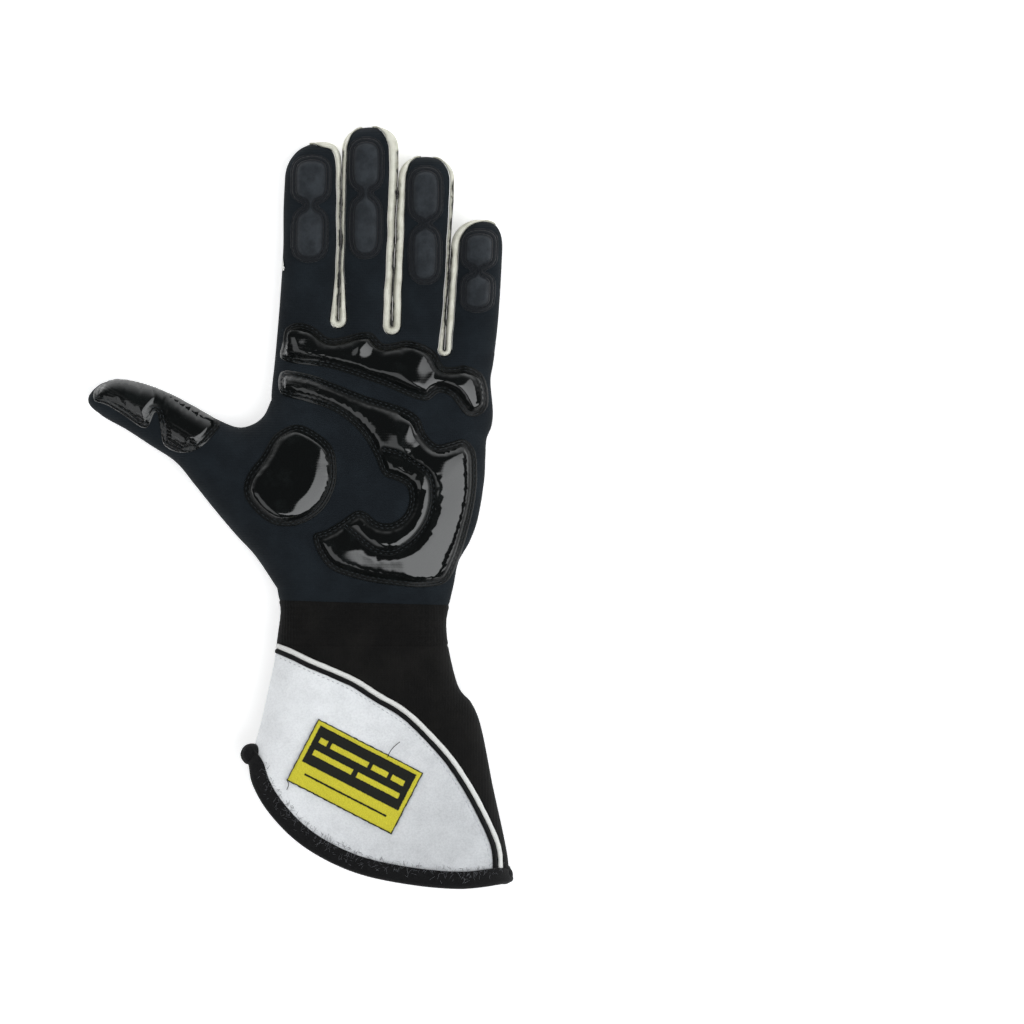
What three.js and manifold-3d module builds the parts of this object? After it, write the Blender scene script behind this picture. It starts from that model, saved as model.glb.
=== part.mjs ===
// A left-hand gauntlet glove for racing, lying on the back of the hand with the palm up.
// Millimetres, +Z up from the surface it lies on, +Y towards the fingertips, -X on the thumb side.
// The knit shell is cut like the real one: a palm panel and a back panel with the faces of all
// fingers and the thumb, three fourchettes between the fingers, a gathered wrist, a flared cuff of
// several panels with piping, a badge and a bound hem, and padding sewn on the palm and the fingers.
import * as THREE from "three";
import { mergeVertices } from "three/addons/utils/BufferGeometryUtils.js";
import Module from "manifold-3d";

const wasm = await Module();
wasm.setup();

// Fabric and clearances
const wall = 1.8; // knit with its lining
const gap = 0.3; // air between two sewn pieces
const slit = 0.8; // air between two fingers
const underRound = 7; // how far in from the outline the underside meets the floor

// Where the hand, the wrist and the cuff begin and end, on the thumb side and on the outer side
const knuckleY = { left: 87, right: 70 };
const wristY = { left: -42.8, right: -45 };
const cuffY = { left: -63.5, right: -63.5 };
const mouthY = { left: -116, right: -171 };

// Finger lines at a few heights up the hand: the outer side of the index, the three slits between
// the fingers and the outer side of the little finger
const fingerLines = [
  { y: 66, index: -11.7, slit1: 17.6, slit2: 42.3, slit3: 66.5, little: 89.3 },
  { y: 86, index: -10.1, slit1: 17.9, slit2: 42.6, slit3: 67.4, little: 91.6 },
  { y: 118, index: -8.5, slit1: 18.8, slit2: 43.7, slit3: 69.6, little: 93.5 },
  { y: 138, index: -7.6, slit1: 19.0, slit2: 44.8, slit3: 70.8, little: 93.6 },
  { y: 160, index: -6.5, slit1: 19.5, slit2: 45.5, slit3: 71.1, little: 93.6 },
  { y: 176, index: -6.0, slit1: 19.6, slit2: 45.8, slit3: 71.2, little: 93.6 },
];

// Each finger runs between two of those lines. round is the length of its rounded tip, and lean
// how far the tip's middle lies to the side.
const fingers = [
  { name: "index", left: "index", right: "slit1", tip: 168.0, round: 16, lean: 3.6 },
  { name: "middle", left: "slit1", right: "slit2", tip: 175.0, round: 11, lean: 0.2 },
  { name: "ring", left: "slit2", right: "slit3", tip: 161.4, round: 11, lean: -0.6 },
  { name: "little", left: "slit3", right: "little", tip: 132.2, round: 13, lean: 1.0 },
];

// The fourchette in each slit: the height of the slit's lower end, the radius of its U, and how
// much of the finger on each side it covers halfway up and at the tip
const crotches = [
  { line: "slit1", y: 86.0, radius: 3.8, leftMid: 1.9, leftTip: 2.8, rightMid: 1.9, rightTip: 2.4 },
  { line: "slit2", y: 83.3, radius: 4.1, leftMid: 3.7, leftTip: 4.1, rightMid: 4.0, rightTip: 3.4 },
  { line: "slit3", y: 72.5, radius: 3.2, leftMid: 1.7, leftTip: 2.2, rightMid: 3.6, rightTip: 3.8 },
];

// The thumb from its root on the palm to its tip: the upper and the lower edge of each section
const thumbSections = [
  { upX: -13.1, upY: 49.2, lowX: -10.4, lowY: -37.3 },
  { upX: -16.3, upY: 42.3, lowX: -20.0, lowY: -23.0 },
  { upX: -21.4, upY: 38.2, lowX: -29.2, lowY: -12.9 },
  { upX: -28.3, upY: 36.8, lowX: -38.9, lowY: -1.4 },
  { upX: -37.5, upY: 40.3, lowX: -48.1, lowY: 10.1 },
  { upX: -48.1, upY: 45.8, lowX: -56.8, lowY: 20.5 },
  { upX: -59.6, upY: 51.8, lowX: -68.8, lowY: 28.5 },
  { upX: -71.5, upY: 56.3, lowX: -79.4, lowY: 35.4 },
  { upX: -83.0, upY: 58.5, lowX: -88.5, lowY: 40.4 },
  { upX: -92.2, upY: 56.4, lowX: -94.6, lowY: 44.2 },
  { upX: -96.4, upY: 52.6, lowX: -96.8, lowY: 47.6 },
];

// Sides of the palm above the thumb, and of the whole hand, wrist and cuff on the little finger's side
const palmLeft = [
  { y: 88.0, x: -10.1 },
  { y: 76.8, x: -10.8 },
  { y: 65.8, x: -11.7 },
  { y: 54.7, x: -12.9 },
  { y: 49.2, x: -13.1 },
  { y: -37.3, x: -10.4 },
  { y: -42.8, x: -9.4 },
];
const rightSide = [
  { y: 86.0, x: 91.6 },
  { y: 76.8, x: 90.8 },
  { y: 65.8, x: 89.3 },
  { y: 58.4, x: 88.1 },
  { y: 44.0, x: 89.2 },
  { y: 33.6, x: 87.6 },
  { y: 24.0, x: 86.3 },
  { y: 12.4, x: 85.3 },
  { y: -6.0, x: 82.1 },
  { y: -16.1, x: 78.4 },
  { y: -25.0, x: 73.4 },
  { y: -35.9, x: 71.1 },
  { y: -45.0, x: 69.0 },
  { y: -53.0, x: 67.6 },
  { y: -63.5, x: 68.5 },
  { y: -79.6, x: 72.2 },
  { y: -85.1, x: 74.8 },
  { y: -89.5, x: 79.0 },
  { y: -99.4, x: 83.3 },
  { y: -128.3, x: 89.2 },
  { y: -158.2, x: 95.0 },
  { y: -171.0, x: 96.4 },
];
const cuffLeft = [
  { y: -42.8, x: -9.4 },
  { y: -48.0, x: -8.7 },
  { y: -58.4, x: -9.9 },
  { y: -71.3, x: -11.7 },
  { y: -85.1, x: -14.7 },
  { y: -99.4, x: -17.9 },
  { y: -116.0, x: -22.6 },
];

// Edge of the cuff, from the thumb side to the little finger's side
const mouthLine = [
  { x: -22.6, y: -116.0 },
  { x: -19.6, y: -127.0 },
  { x: -12.0, y: -139.4 },
  { x: 2.0, y: -153.2 },
  { x: 23.0, y: -164.6 },
  { x: 47.0, y: -170.6 },
  { x: 75.0, y: -173.2 },
  { x: 96.4, y: -171.0 },
];

// Crown of the palm side, height of the side seams, height of the underside, and how far in from
// the outline the crown is reached. The cuff's underside stands off the floor by its bound hem.
const heights = [
  { y: 176, crown: 16.5, seam: 8.0, floor: 0, round: 11 },
  { y: 120, crown: 17.5, seam: 8.4, floor: 0, round: 11.5 },
  { y: 85, crown: 19.5, seam: 9.0, floor: 0, round: 12.5 },
  { y: 55, crown: 24.5, seam: 10.5, floor: 0, round: 17 },
  { y: 0, crown: 27.0, seam: 11.5, floor: 0, round: 20 },
  { y: -45, crown: 25.0, seam: 12.0, floor: 0, round: 19 },
  { y: -63, crown: 25.0, seam: 12.5, floor: 0, round: 20 },
  { y: -105, crown: 30.5, seam: 15.0, floor: 1.8, round: 26 },
  { y: -174, crown: 37.0, seam: 18.0, floor: 1.8, round: 32 },
];
const thumbHeight = { startX: -14, endX: -62, crown: 22.5, seam: 12.5, floor: 3.0, round: 12 };

// Reads a column of a table at a height, with a smooth curve through its rows
function along(table, key, column, value) {
  const rows = table[0][key] < table[table.length - 1][key] ? table : [...table].reverse();
  const last = rows.length - 1;
  let i = rows.findIndex((row) => row[key] > value) - 1;
  if (i === -2) i = last - 1;
  i = Math.max(0, i);
  const at = (k) => rows[Math.min(last, Math.max(0, k))];
  const slope = (k) => {
    const [a, b] = [at(k - 1), at(k + 1)];
    return (b[column] - a[column]) / (b[key] - a[key]);
  };
  const step = at(i + 1)[key] - at(i)[key];
  const t = THREE.MathUtils.clamp((value - at(i)[key]) / step, 0, 1);
  const rise = t * t * (3 - 2 * t);
  return (
    at(i)[column] * (1 - rise) +
    at(i + 1)[column] * rise +
    slope(i) * step * t * (1 - t) * (1 - t) -
    slope(i + 1) * step * t * t * (1 - t)
  );
}

const lerp = THREE.MathUtils.lerp;
const straight = (steps) => Array.from({ length: steps + 1 }, (_, i) => i / steps);
const clustered = (steps) => straight(steps).map((t) => (1 - Math.cos(Math.PI * t)) / 2);

// The two sides of a finger at a height, and its middle and half width with its rounded tip
function fingerSides(finger, y) {
  const left = along(fingerLines, "y", finger.left, y) + (finger.left === "index" ? 0 : slit / 2);
  const right = along(fingerLines, "y", finger.right, y) - (finger.right === "little" ? 0 : slit / 2);
  return [left, right];
}
const tipPower = 2.3;
function fingerSection(finger, y) {
  const [left, right] = fingerSides(finger, y);
  const into = THREE.MathUtils.clamp((y - finger.tip + finger.round) / finger.round, 0, 1);
  const shrink = (1 - into ** tipPower) ** (1 / tipPower);
  return {
    middle: (left + right) / 2 + finger.lean * into * into,
    half: ((right - left) / 2) * shrink,
  };
}

// Heights up a finger, from its base to its tip, as shares of the straight part and of the tip
const straightRows = [0.2, 0.55, 1];
const tipRows = [0.45, 0.75, 0.93, 0.99];
const topOf = (finger) => finger.tip - finger.round * (1 - tipRows.at(-1));
function fingerHeights(finger, base) {
  const bend = finger.tip - finger.round;
  return [
    ...straightRows.map((t) => lerp(base, bend, t)),
    ...tipRows.map((t) => bend + finger.round * t),
  ];
}

// Share of the half width at which a finger's palm face ends and its fourchette begins
function seamShare(finger, side, y) {
  const k = crotches.findIndex((c) => c.line === finger[side]);
  if (k < 0) return 1;
  const c = crotches[k];
  const [mid, tip] = side === "right" ? [c.leftMid, c.leftTip] : [c.rightMid, c.rightTip];
  const u = THREE.MathUtils.clamp((y - c.y) / (finger.tip - c.y), 0, 1);
  const cover = u < 0.5 ? lerp(c.radius, mid, Math.min(1, u * 4)) : lerp(mid, tip, u * 2 - 1);
  const [left, right] = fingerSides(finger, y);
  return 1 - (2 * cover - slit) / (right - left);
}

// The outline of the glove in plan, without the open mouth of the cuff
function outline() {
  const points = [];
  const add = (x, y) => points.push(new THREE.Vector2(x, y));
  const steps = straight(160);
  steps.forEach((t) => {
    const y = lerp(mouthY.left, wristY.left, t);
    add(along(cuffLeft, "y", "x", y), y);
  });
  thumbSections.forEach((s) => add(s.lowX, s.lowY));
  [...thumbSections].reverse().forEach((s) => add(s.upX, s.upY));
  straight(40).forEach((t) => {
    const y = lerp(thumbSections[0].upY, knuckleY.left, t);
    add(along(palmLeft, "y", "x", y), y);
  });
  fingers.forEach((finger, k) => {
    const startY = k ? crotches[k - 1].y : knuckleY.left;
    const endY = k < 3 ? crotches[k].y : knuckleY.right;
    const edge = (y, hand) => {
      const s = fingerSection(finger, y);
      add(s.middle + hand * s.half, y);
    };
    clustered(80).forEach((t) => edge(lerp(startY, topOf(finger), t), -1));
    clustered(80).forEach((t) => edge(lerp(topOf(finger), endY, t), 1));
    if (k < 3) uTurn(crotches[k], slit / 2).forEach((p) => add(p.x, p.y));
  });
  steps.forEach((t) => {
    const y = lerp(knuckleY.right, mouthY.right, t);
    add(along(rightSide, "y", "x", y), y);
  });
  return points;
}

// Points round the lower end of a slit, from the finger on its left to the finger on its right
const turnSteps = 3;
function uTurn(crotch, radius) {
  const x = along(fingerLines, "y", crotch.line, crotch.y);
  return straight(turnSteps).map(
    (t) =>
      new THREE.Vector2(x - radius * Math.cos(Math.PI * t), crotch.y - radius * Math.sin(Math.PI * t)),
  );
}

const outlinePoints = outline();
const onEdge = 0.03; // a point this close to the outline lies on it
function distanceToOutline(x, y) {
  const p = new THREE.Vector3(x, y, 0);
  const edge = new THREE.Line3();
  const nearest = new THREE.Vector3();
  let best = Infinity;
  for (let i = 1; i < outlinePoints.length; i++) {
    edge.start.set(outlinePoints[i - 1].x, outlinePoints[i - 1].y, 0);
    edge.end.set(outlinePoints[i].x, outlinePoints[i].y, 0);
    best = Math.min(best, edge.closestPointToPoint(p, true, nearest).distanceTo(p));
  }
  return best < onEdge ? 0 : best;
}

// Height of the palm side or of the back over a point of the plan. The shell stands up from the
// side seams and is flat underneath, where it lies on the surface.
function skinPoint(x, y, side) {
  const inThumb = THREE.MathUtils.smoothstep(-x, -thumbHeight.startX, -thumbHeight.endX);
  const onHand = y > -40 ? inThumb : 0;
  const read = (column) => along(heights, "y", column, y);
  const seam = lerp(read("seam"), thumbHeight.seam, onHand);
  const level = side === "palm" ? "crown" : "floor";
  const far = lerp(Math.max(0, read(level)), thumbHeight[level], onHand);
  const round = side === "palm" ? lerp(read("round"), thumbHeight.round, onHand) : underRound;
  const t = Math.min(1, distanceToOutline(x, y) / round);
  return new THREE.Vector3(x, y, seam + (far - seam) * Math.sqrt(1 - (1 - t) ** 2));
}

// Columns across the fingers, as shares of their half widths. They run on down the palm, with the U
// of each fourchette between them.
const acrossIndex = [-1, -0.94, -0.73, -0.3, 0.35];
const acrossInner = [-0.3, 0.3];
const acrossLittle = [-0.35, 0.3, 0.73, 0.94, 1];
function fingerShares(k, y) {
  const finger = fingers[k];
  const left = -seamShare(finger, "left", y);
  const right = seamShare(finger, "right", y);
  if (k === 0) return [...acrossIndex, right];
  if (k === 3) return [left, ...acrossLittle];
  return [left, ...acrossInner, right];
}

function baseRow() {
  const row = [];
  fingers.forEach((finger, k) => {
    const leftY = k ? crotches[k - 1].y : knuckleY.left;
    const rightY = k < 3 ? crotches[k].y : knuckleY.right;
    const shares = fingerShares(k, (leftY + rightY) / 2);
    const s = fingerSection(finger, (leftY + rightY) / 2);
    const start = k ? uTurn(crotches[k - 1], crotches[k - 1].radius)[turnSteps].x : s.middle - s.half;
    const end = k < 3 ? uTurn(crotches[k], crotches[k].radius)[0].x : s.middle + s.half;
    shares.forEach((a) => {
      const t = (a - shares[0]) / (shares[shares.length - 1] - shares[0]);
      row.push({ x: lerp(start, end, t), y: lerp(leftY, rightY, t), dip: 0, finger: k });
    });
    if (k < 3)
      uTurn(crotches[k], crotches[k].radius)
        .slice(1, -1)
        .forEach((p) => row.push({ x: p.x, y: crotches[k].y, dip: crotches[k].y - p.y, finger: -1 }));
  });
  return row;
}
const base = baseRow();
const shares = base.map((p) => (p.x - base[0].x) / (base[base.length - 1].x - base[0].x));

// Rows down the palm: down to the thumb's root, across the thumb's root, and to the wrist
const thumbSteps = 5;
const rowsAboveThumb = [knuckleY.left, 72];
const palmRows = [
  ...rowsAboveThumb,
  ...clustered(thumbSteps).map((t) => lerp(thumbSections[0].upY, thumbSections[0].lowY, t)),
  wristY.left,
];
const dipFade = 14;

function palmPoint(rowY, column) {
  const t = (knuckleY.left - rowY) / (knuckleY.left - wristY.left);
  const rightY = lerp(knuckleY.right, wristY.right, t);
  const p = base[column];
  const u = shares[column];
  const left = along(palmLeft, "y", "x", rowY);
  const right = along(rightSide, "y", "x", rightY);
  const slant = p.y - lerp(knuckleY.left, knuckleY.right, u);
  const fade = Math.max(0, 1 - (knuckleY.left - rowY) / dipFade) ** 2;
  return { x: lerp(left, right, u), y: lerp(rowY, rightY, u) + slant * (1 - t) - p.dip * fade };
}

// Quads of the shell, counter-clockwise from outside, kept by the name of their panel
const panels = new Map();
function addGrid(panel, rows, side) {
  if (!panels.has(panel)) panels.set(panel, []);
  for (let i = 1; i < rows.length; i++)
    for (let j = 1; j < rows[i].length; j++) {
      const quad = [rows[i - 1][j - 1], rows[i - 1][j], rows[i][j], rows[i][j - 1]];
      panels.get(panel).push(side === "back" ? quad : quad.reverse());
    }
}

// Palm and back of the hand, with the faces of the fingers and the thumb
function handPanel(panel, side) {
  const lift = (p) => skinPoint(p.x, p.y, side);
  const palm = palmRows.map((y, i) =>
    base.map((p, j) => lift(i ? palmPoint(y, j) : { x: p.x, y: p.y - p.dip })),
  );
  addGrid(panel, palm, side);
  fingers.forEach((finger, k) => {
    const columns = base.map((p, j) => j).filter((j) => base[j].finger === k);
    const rows = [columns.map((j) => palm[0][j])];
    const middleBase = (base[columns[0]].y + base[columns.at(-1)].y) / 2;
    fingerHeights(finger, middleBase).forEach((y, i) => {
      const settle = i < straightRows.length ? straightRows[i] : 1;
      rows.push(
        fingerShares(k, y).map((a, n) => {
          const tilt = (base[columns[n]].y - middleBase) * (1 - settle);
          const s = fingerSection(finger, y + tilt);
          return lift({ x: s.middle + s.half * a, y: y + tilt });
        }),
      );
    });
    addGrid(panel, rows.reverse(), side);
  });
  const thumb = thumbSections.map((s) =>
    clustered(thumbSteps).map((t) => lift({ x: lerp(s.upX, s.lowX, t), y: lerp(s.upY, s.lowY, t) })),
  );
  thumb[0] = palm.slice(rowsAboveThumb.length, -1).map((row) => row[0]);
  addGrid(panel, thumb, side);
}

// A fourchette: down the side of one finger, round the end of the slit and up the next finger
const acrossFourchette = [1, 0.4, 0];
function fourchette(panel, k) {
  const crotch = crotches[k];
  const sideOf = (finger, side) => {
    const hand = side === "right" ? 1 : -1;
    const index = fingers.indexOf(finger);
    const ends = base.filter((p) => p.finger === index);
    const middleBase = (ends[0].y + ends.at(-1).y) / 2;
    return fingerHeights(finger, middleBase).map((y, i) => {
      const settle = i < straightRows.length ? straightRows[i] : 1;
      const up = y + (crotch.y - middleBase) * (1 - settle);
      const s = fingerSection(finger, up);
      const cover = 1 - seamShare(finger, side, y);
      return (share) => ({ x: s.middle + hand * s.half * (1 - cover * share), y: up });
    });
  };
  const turn = straight(turnSteps).map((t, i) => (share) => {
    return uTurn(crotch, slit / 2 + (crotch.radius - slit / 2) * share)[i];
  });
  const path = [
    ...sideOf(fingers[k], "right").reverse(),
    ...turn,
    ...sideOf(fingers[k + 1], "left"),
  ];
  for (const side of ["palm", "back"]) {
    const rows = acrossFourchette.map((share) =>
      path.map((at) => skinPoint(at(share).x, at(share).y, side)),
    );
    addGrid(panel, rows.reverse(), side);
  }
}

// Columns across the wrist and the cuff, closer together at the rounded sides
const acrossCuff = [0, 0.012, 0.06, 0.15, 0.3, 0.5, 0.7, 0.85, 0.94, 0.988, 1];
const ruffles = { count: 4, depth: 0.9 };

function wristBand(panel) {
  const steps = ruffles.count * 2;
  for (const side of ["palm", "back"]) {
    const rows = straight(steps).map((t, i) =>
      acrossCuff.map((u) => {
        const leftY = lerp(wristY.left, cuffY.left, t);
        const rightY = lerp(wristY.right, cuffY.right, t);
        const x = lerp(along(cuffLeft, "y", "x", leftY), along(rightSide, "y", "x", rightY), u);
        const p = skinPoint(x, lerp(leftY, rightY, u), side);
        const inside = Math.sin(Math.PI * u) ** 0.5;
        const dips = side === "palm" && i % 2 === 0 && i > 0 && i < steps;
        if (dips) p.z -= ruffles.depth * inside;
        return p;
      }),
    );
    addGrid(panel, rows, side);
  }
}

const mouthCurve = new THREE.CatmullRomCurve3(mouthLine.map((p) => new THREE.Vector3(p.x, p.y, 0)));
const cuffSteps = 6;
function cuffPoint(u, t) {
  const leftY = lerp(cuffY.left, mouthY.left, t);
  const rightY = lerp(cuffY.right, mouthY.right, t);
  const left = new THREE.Vector2(along(cuffLeft, "y", "x", leftY), leftY);
  const right = new THREE.Vector2(along(rightSide, "y", "x", rightY), rightY);
  const top = (v) =>
    new THREE.Vector2(
      lerp(along(cuffLeft, "y", "x", cuffY.left), along(rightSide, "y", "x", cuffY.right), v),
      lerp(cuffY.left, cuffY.right, v),
    );
  const mouth = (v) => {
    const p = mouthCurve.getPointAt(v);
    return new THREE.Vector2(p.x, p.y);
  };
  const mix = (a, b, s) => a.clone().lerp(b, s);
  const corners = mix(mix(top(0), top(1), u), mix(mouth(0), mouth(1), u), t);
  return mix(left, right, u).add(mix(top(u), mouth(u), t)).sub(corners);
}

function cuffPanel(panel, side) {
  const rows = straight(cuffSteps).map((t) =>
    acrossCuff.map((u) => {
      const p = cuffPoint(u, t);
      return skinPoint(p.x, p.y, side);
    }),
  );
  addGrid(panel, rows, side);
}

handPanel("palm_panel", "palm");
handPanel("back_panel", "back");
crotches.forEach((c, k) =>
  fourchette(`fourchette_${fingers[k].name}_${fingers[k + 1].name}`, k),
);
wristBand("wrist_band");
cuffPanel("cuff_front", "palm");
cuffPanel("cuff_back_panel", "back");

// Outward direction of the shell at each of its points, shared by the panels that meet there
const keyOf = (p) => [p.x, p.y, p.z].map((v) => Math.round(v * 200)).join(",");
const outward = new Map();
for (const quads of panels.values())
  for (const [a, b, c, d] of quads) {
    const n = c.clone().sub(a).cross(d.clone().sub(b));
    for (const p of [a, b, c, d]) {
      if (!outward.has(keyOf(p))) outward.set(keyOf(p), new THREE.Vector3());
      outward.get(keyOf(p)).add(n);
    }
  }
for (const n of outward.values()) n.normalize();

// Makes a closed solid of a panel's quads, between two distances from the outer skin. trim draws
// its free edges back along the surface.
function thicken(quads, outer, inner, trim) {
  const index = new Map();
  const points = [];
  const idOf = (p) => {
    const key = keyOf(p);
    if (!index.has(key)) {
      index.set(key, points.length);
      points.push(p);
    }
    return index.get(key);
  };
  const faces = quads.map((quad) => quad.map(idOf));
  const used = new Map();
  faces.forEach((face) =>
    face.forEach((a, i) => used.set(`${a}>${face[(i + 1) % 4]}`, [a, face[(i + 1) % 4]])),
  );
  const border = [...used].filter(([, [a, b]]) => !used.has(`${b}>${a}`)).map(([, edge]) => edge);
  const moved = points.map((p) => p.clone());
  const pull = new Map(border.flat().map((id) => [id, new THREE.Vector3()]));
  faces.forEach((face) => {
    const centre = face.reduce((sum, id) => sum.add(points[id]), new THREE.Vector3()).divideScalar(4);
    face.forEach((id) => pull.get(id)?.add(centre.clone().sub(points[id])));
  });
  for (const [id, direction] of pull)
    moved[id].add(direction.projectOnPlane(outward.get(keyOf(points[id]))).setLength(trim));
  const count = points.length;
  const position = [outer, inner].flatMap((offset) =>
    moved.flatMap((p, id) => p.clone().addScaledVector(outward.get(keyOf(points[id])), offset).toArray()),
  );
  const triangles = [];
  for (const [a, b, c, d] of faces) {
    triangles.push(a, b, c, a, c, d);
    triangles.push(count + a, count + c, count + b, count + a, count + d, count + c);
  }
  for (const [a, b] of border) triangles.push(b, a, count + a, b, count + a, count + b);
  const geometry = new THREE.BufferGeometry();
  geometry.setAttribute("position", new THREE.Float32BufferAttribute(position, 3));
  geometry.setIndex(triangles);
  return geometry;
}

// Joins and cuts
function solid(geometry) {
  const bare = new THREE.BufferGeometry();
  bare.setAttribute("position", geometry.getAttribute("position"));
  bare.setIndex(geometry.getIndex());
  const merged = mergeVertices(bare, 1e-4);
  const mesh = new wasm.Mesh({
    numProp: 3,
    vertProperties: new Float32Array(merged.attributes.position.array),
    triVerts: new Uint32Array(merged.index.array),
  });
  return new wasm.Manifold(mesh);
}

function geometryOf(made) {
  const mesh = made.getMesh();
  const geometry = new THREE.BufferGeometry();
  geometry.setAttribute("position", new THREE.BufferAttribute(new Float32Array(mesh.vertProperties), 3));
  geometry.setIndex(new THREE.BufferAttribute(new Uint32Array(mesh.triVerts), 1));
  return geometry;
}

// An upright prism over a closed outline in plan
function prism(points) {
  const shape = new THREE.Shape(points.map((p) => new THREE.Vector2(p.x, p.y)));
  const geometry = new THREE.ExtrudeGeometry(shape, { depth: 120, bevelEnabled: false });
  geometry.translate(0, 0, -40);
  return solid(geometry);
}

function closedCurve(corners, steps) {
  const curve = new THREE.CatmullRomCurve3(
    corners.map(([x, y]) => new THREE.Vector3(x, y, 0)),
    true,
    "centripetal",
  );
  return curve.getSpacedPoints(steps).slice(0, -1);
}

// Draws an outline in by a distance, across the mean direction of the edges at each point
function drawnIn(points, distance) {
  const area = THREE.ShapeUtils.area(points);
  return points.map((p, i) => {
    const before = points[(i + points.length - 1) % points.length];
    const after = points[(i + 1) % points.length];
    const run = new THREE.Vector3(after.x - before.x, after.y - before.y, 0).setLength(distance);
    const turn = area > 0 ? 1 : -1;
    return new THREE.Vector3(p.x - run.y * turn, p.y + run.x * turn, 0);
  });
}

// Padding: a sewn flange with a raised core, following the palm panel below it
const flange = { thick: 0.9, wide: 3.4 };
function patch(points, thick) {
  const palm = panels.get("palm_panel");
  return solid(thicken(palm, gap + thick, gap, 0)).intersect(prism(points));
}
function pad(points, thick, flangeWide = flange.wide) {
  return patch(points, flange.thick).add(patch(drawnIn(points, flangeWide), thick));
}

// Outlines of the palm's padding, corner by corner
const knucklePadOutline = [
  [-7.6, 70.8], [-6.6, 81.0], [-1.0, 84.4], [6.2, 82.9], [13.8, 77.6], [21.6, 78.3], [27.4, 80.0],
  [33.4, 80.0], [38.4, 75.0], [43.4, 75.2], [49.0, 76.4], [57.6, 74.4], [62.8, 70.6], [66.4, 64.6],
  [71.4, 64.2], [76.0, 65.0], [83.6, 61.4], [86.6, 53.0], [86.2, 45.6], [81.8, 41.6], [77.0, 41.8],
  [73.2, 46.0], [69.0, 51.0], [64.2, 52.2], [58.6, 48.6], [37.2, 56.2], [15.0, 63.4],
];
const palmPadOutline = [
  [-8.0, 60.0], [4.4, 60.8], [15.4, 56.6], [31.8, 50.6], [48.0, 45.6], [55.0, 41.2], [58.4, 33.6],
  [63.6, 28.8], [69.6, 29.8], [75.6, 31.2], [80.4, 26.4], [81.6, 16.0], [80.8, 4.2], [77.4, -11.0],
  [72.4, -26.0], [67.2, -34.6], [58.0, -36.8], [42.0, -35.8], [26.0, -32.8], [14.4, -28.2],
  [8.2, -19.6], [6.8, -12.6], [12.2, -10.6], [19.4, -6.4], [26.8, -1.6], [30.6, -2.2], [36.2, -6.6],
  [42.6, -7.2], [48.0, -3.8], [50.6, 2.4], [49.4, 9.4], [44.8, 12.6], [40.0, 15.2], [37.6, 22.6],
  [32.2, 33.4], [24.6, 41.4], [15.4, 46.8], [4.4, 51.2], [-8.0, 54.4],
];
const thumbBasePadOutline = [
  [-1.0, 37.8], [8.2, 34.2], [15.6, 27.2], [17.6, 17.4], [16.4, 8.4], [10.6, -1.8], [0.0, -8.2],
  [-10.4, -8.4], [-19.4, -2.4], [-25.0, 6.2], [-23.6, 14.4], [-17.0, 23.4], [-10.6, 33.4],
];
const thumbPadOutline = [
  [-100.0, 51.6], [-100.0, 62.0], [-60.0, 60.0], [-35.6, 40.6], [-40.6, 31.4], [-46.6, 26.4],
  [-54.4, 25.0], [-61.8, 28.6], [-63.4, 36.0], [-65.6, 43.6], [-70.0, 36.2], [-80.0, 42.0],
  [-88.0, 46.8],
];

// A finger's patch: two lobes with a waist between them. top, low and waist are half widths.
function fingerPatch({ topY, waistY, lowY, topX, lowX, top, low, waist }) {
  const rim = (t) => {
    const upper = t > 0.5;
    const v = upper ? (t - 0.5) * 2 : t * 2;
    const bulge = Math.sqrt(Math.max(0, 1 - (2 * v - 1) ** 4));
    const half = upper ? top : low;
    const joins = upper ? v < 0.5 : v > 0.5;
    const y = upper ? lerp(waistY, topY, v) : lerp(lowY, waistY, v);
    return { y, x: lerp(lowX, topX, t), half: Math.max(half * bulge, joins ? waist : 0.01) };
  };
  const steps = clustered(7).map((t) => t / 2);
  const rows = [...steps, ...steps.slice(1).map((t) => 0.5 + t)].map(rim);
  const right = rows.slice(1, -1).map((r) => new THREE.Vector3(r.x + r.half, r.y, 0));
  const left = rows.slice(1, -1).map((r) => new THREE.Vector3(r.x - r.half, r.y, 0));
  const foot = new THREE.Vector3(rows[0].x, lowY, 0);
  const head = new THREE.Vector3(rows.at(-1).x, topY, 0);
  return [foot, ...right, head, ...left.reverse()];
}
const fingerPatches = {
  index: { topY: 162, waistY: 138.6, lowY: 112, topX: 5.8, lowX: 4.6, top: 9.6, low: 8.8, waist: 3.4 },
  middle: { topY: 170.2, waistY: 144.2, lowY: 113.6, topX: 30.8, lowX: 30.4, top: 8.6, low: 8.2, waist: 3.6 },
  ring: { topY: 157, waistY: 130.2, lowY: 101.8, topX: 58, lowX: 57.8, top: 8.6, low: 8, waist: 2.6 },
  little: { topY: 128, waistY: 108.4, lowY: 89, topX: 83, lowX: 81.6, top: 8.8, low: 8.2, waist: 2.8 },
};
const patchThick = 1.5;

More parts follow.
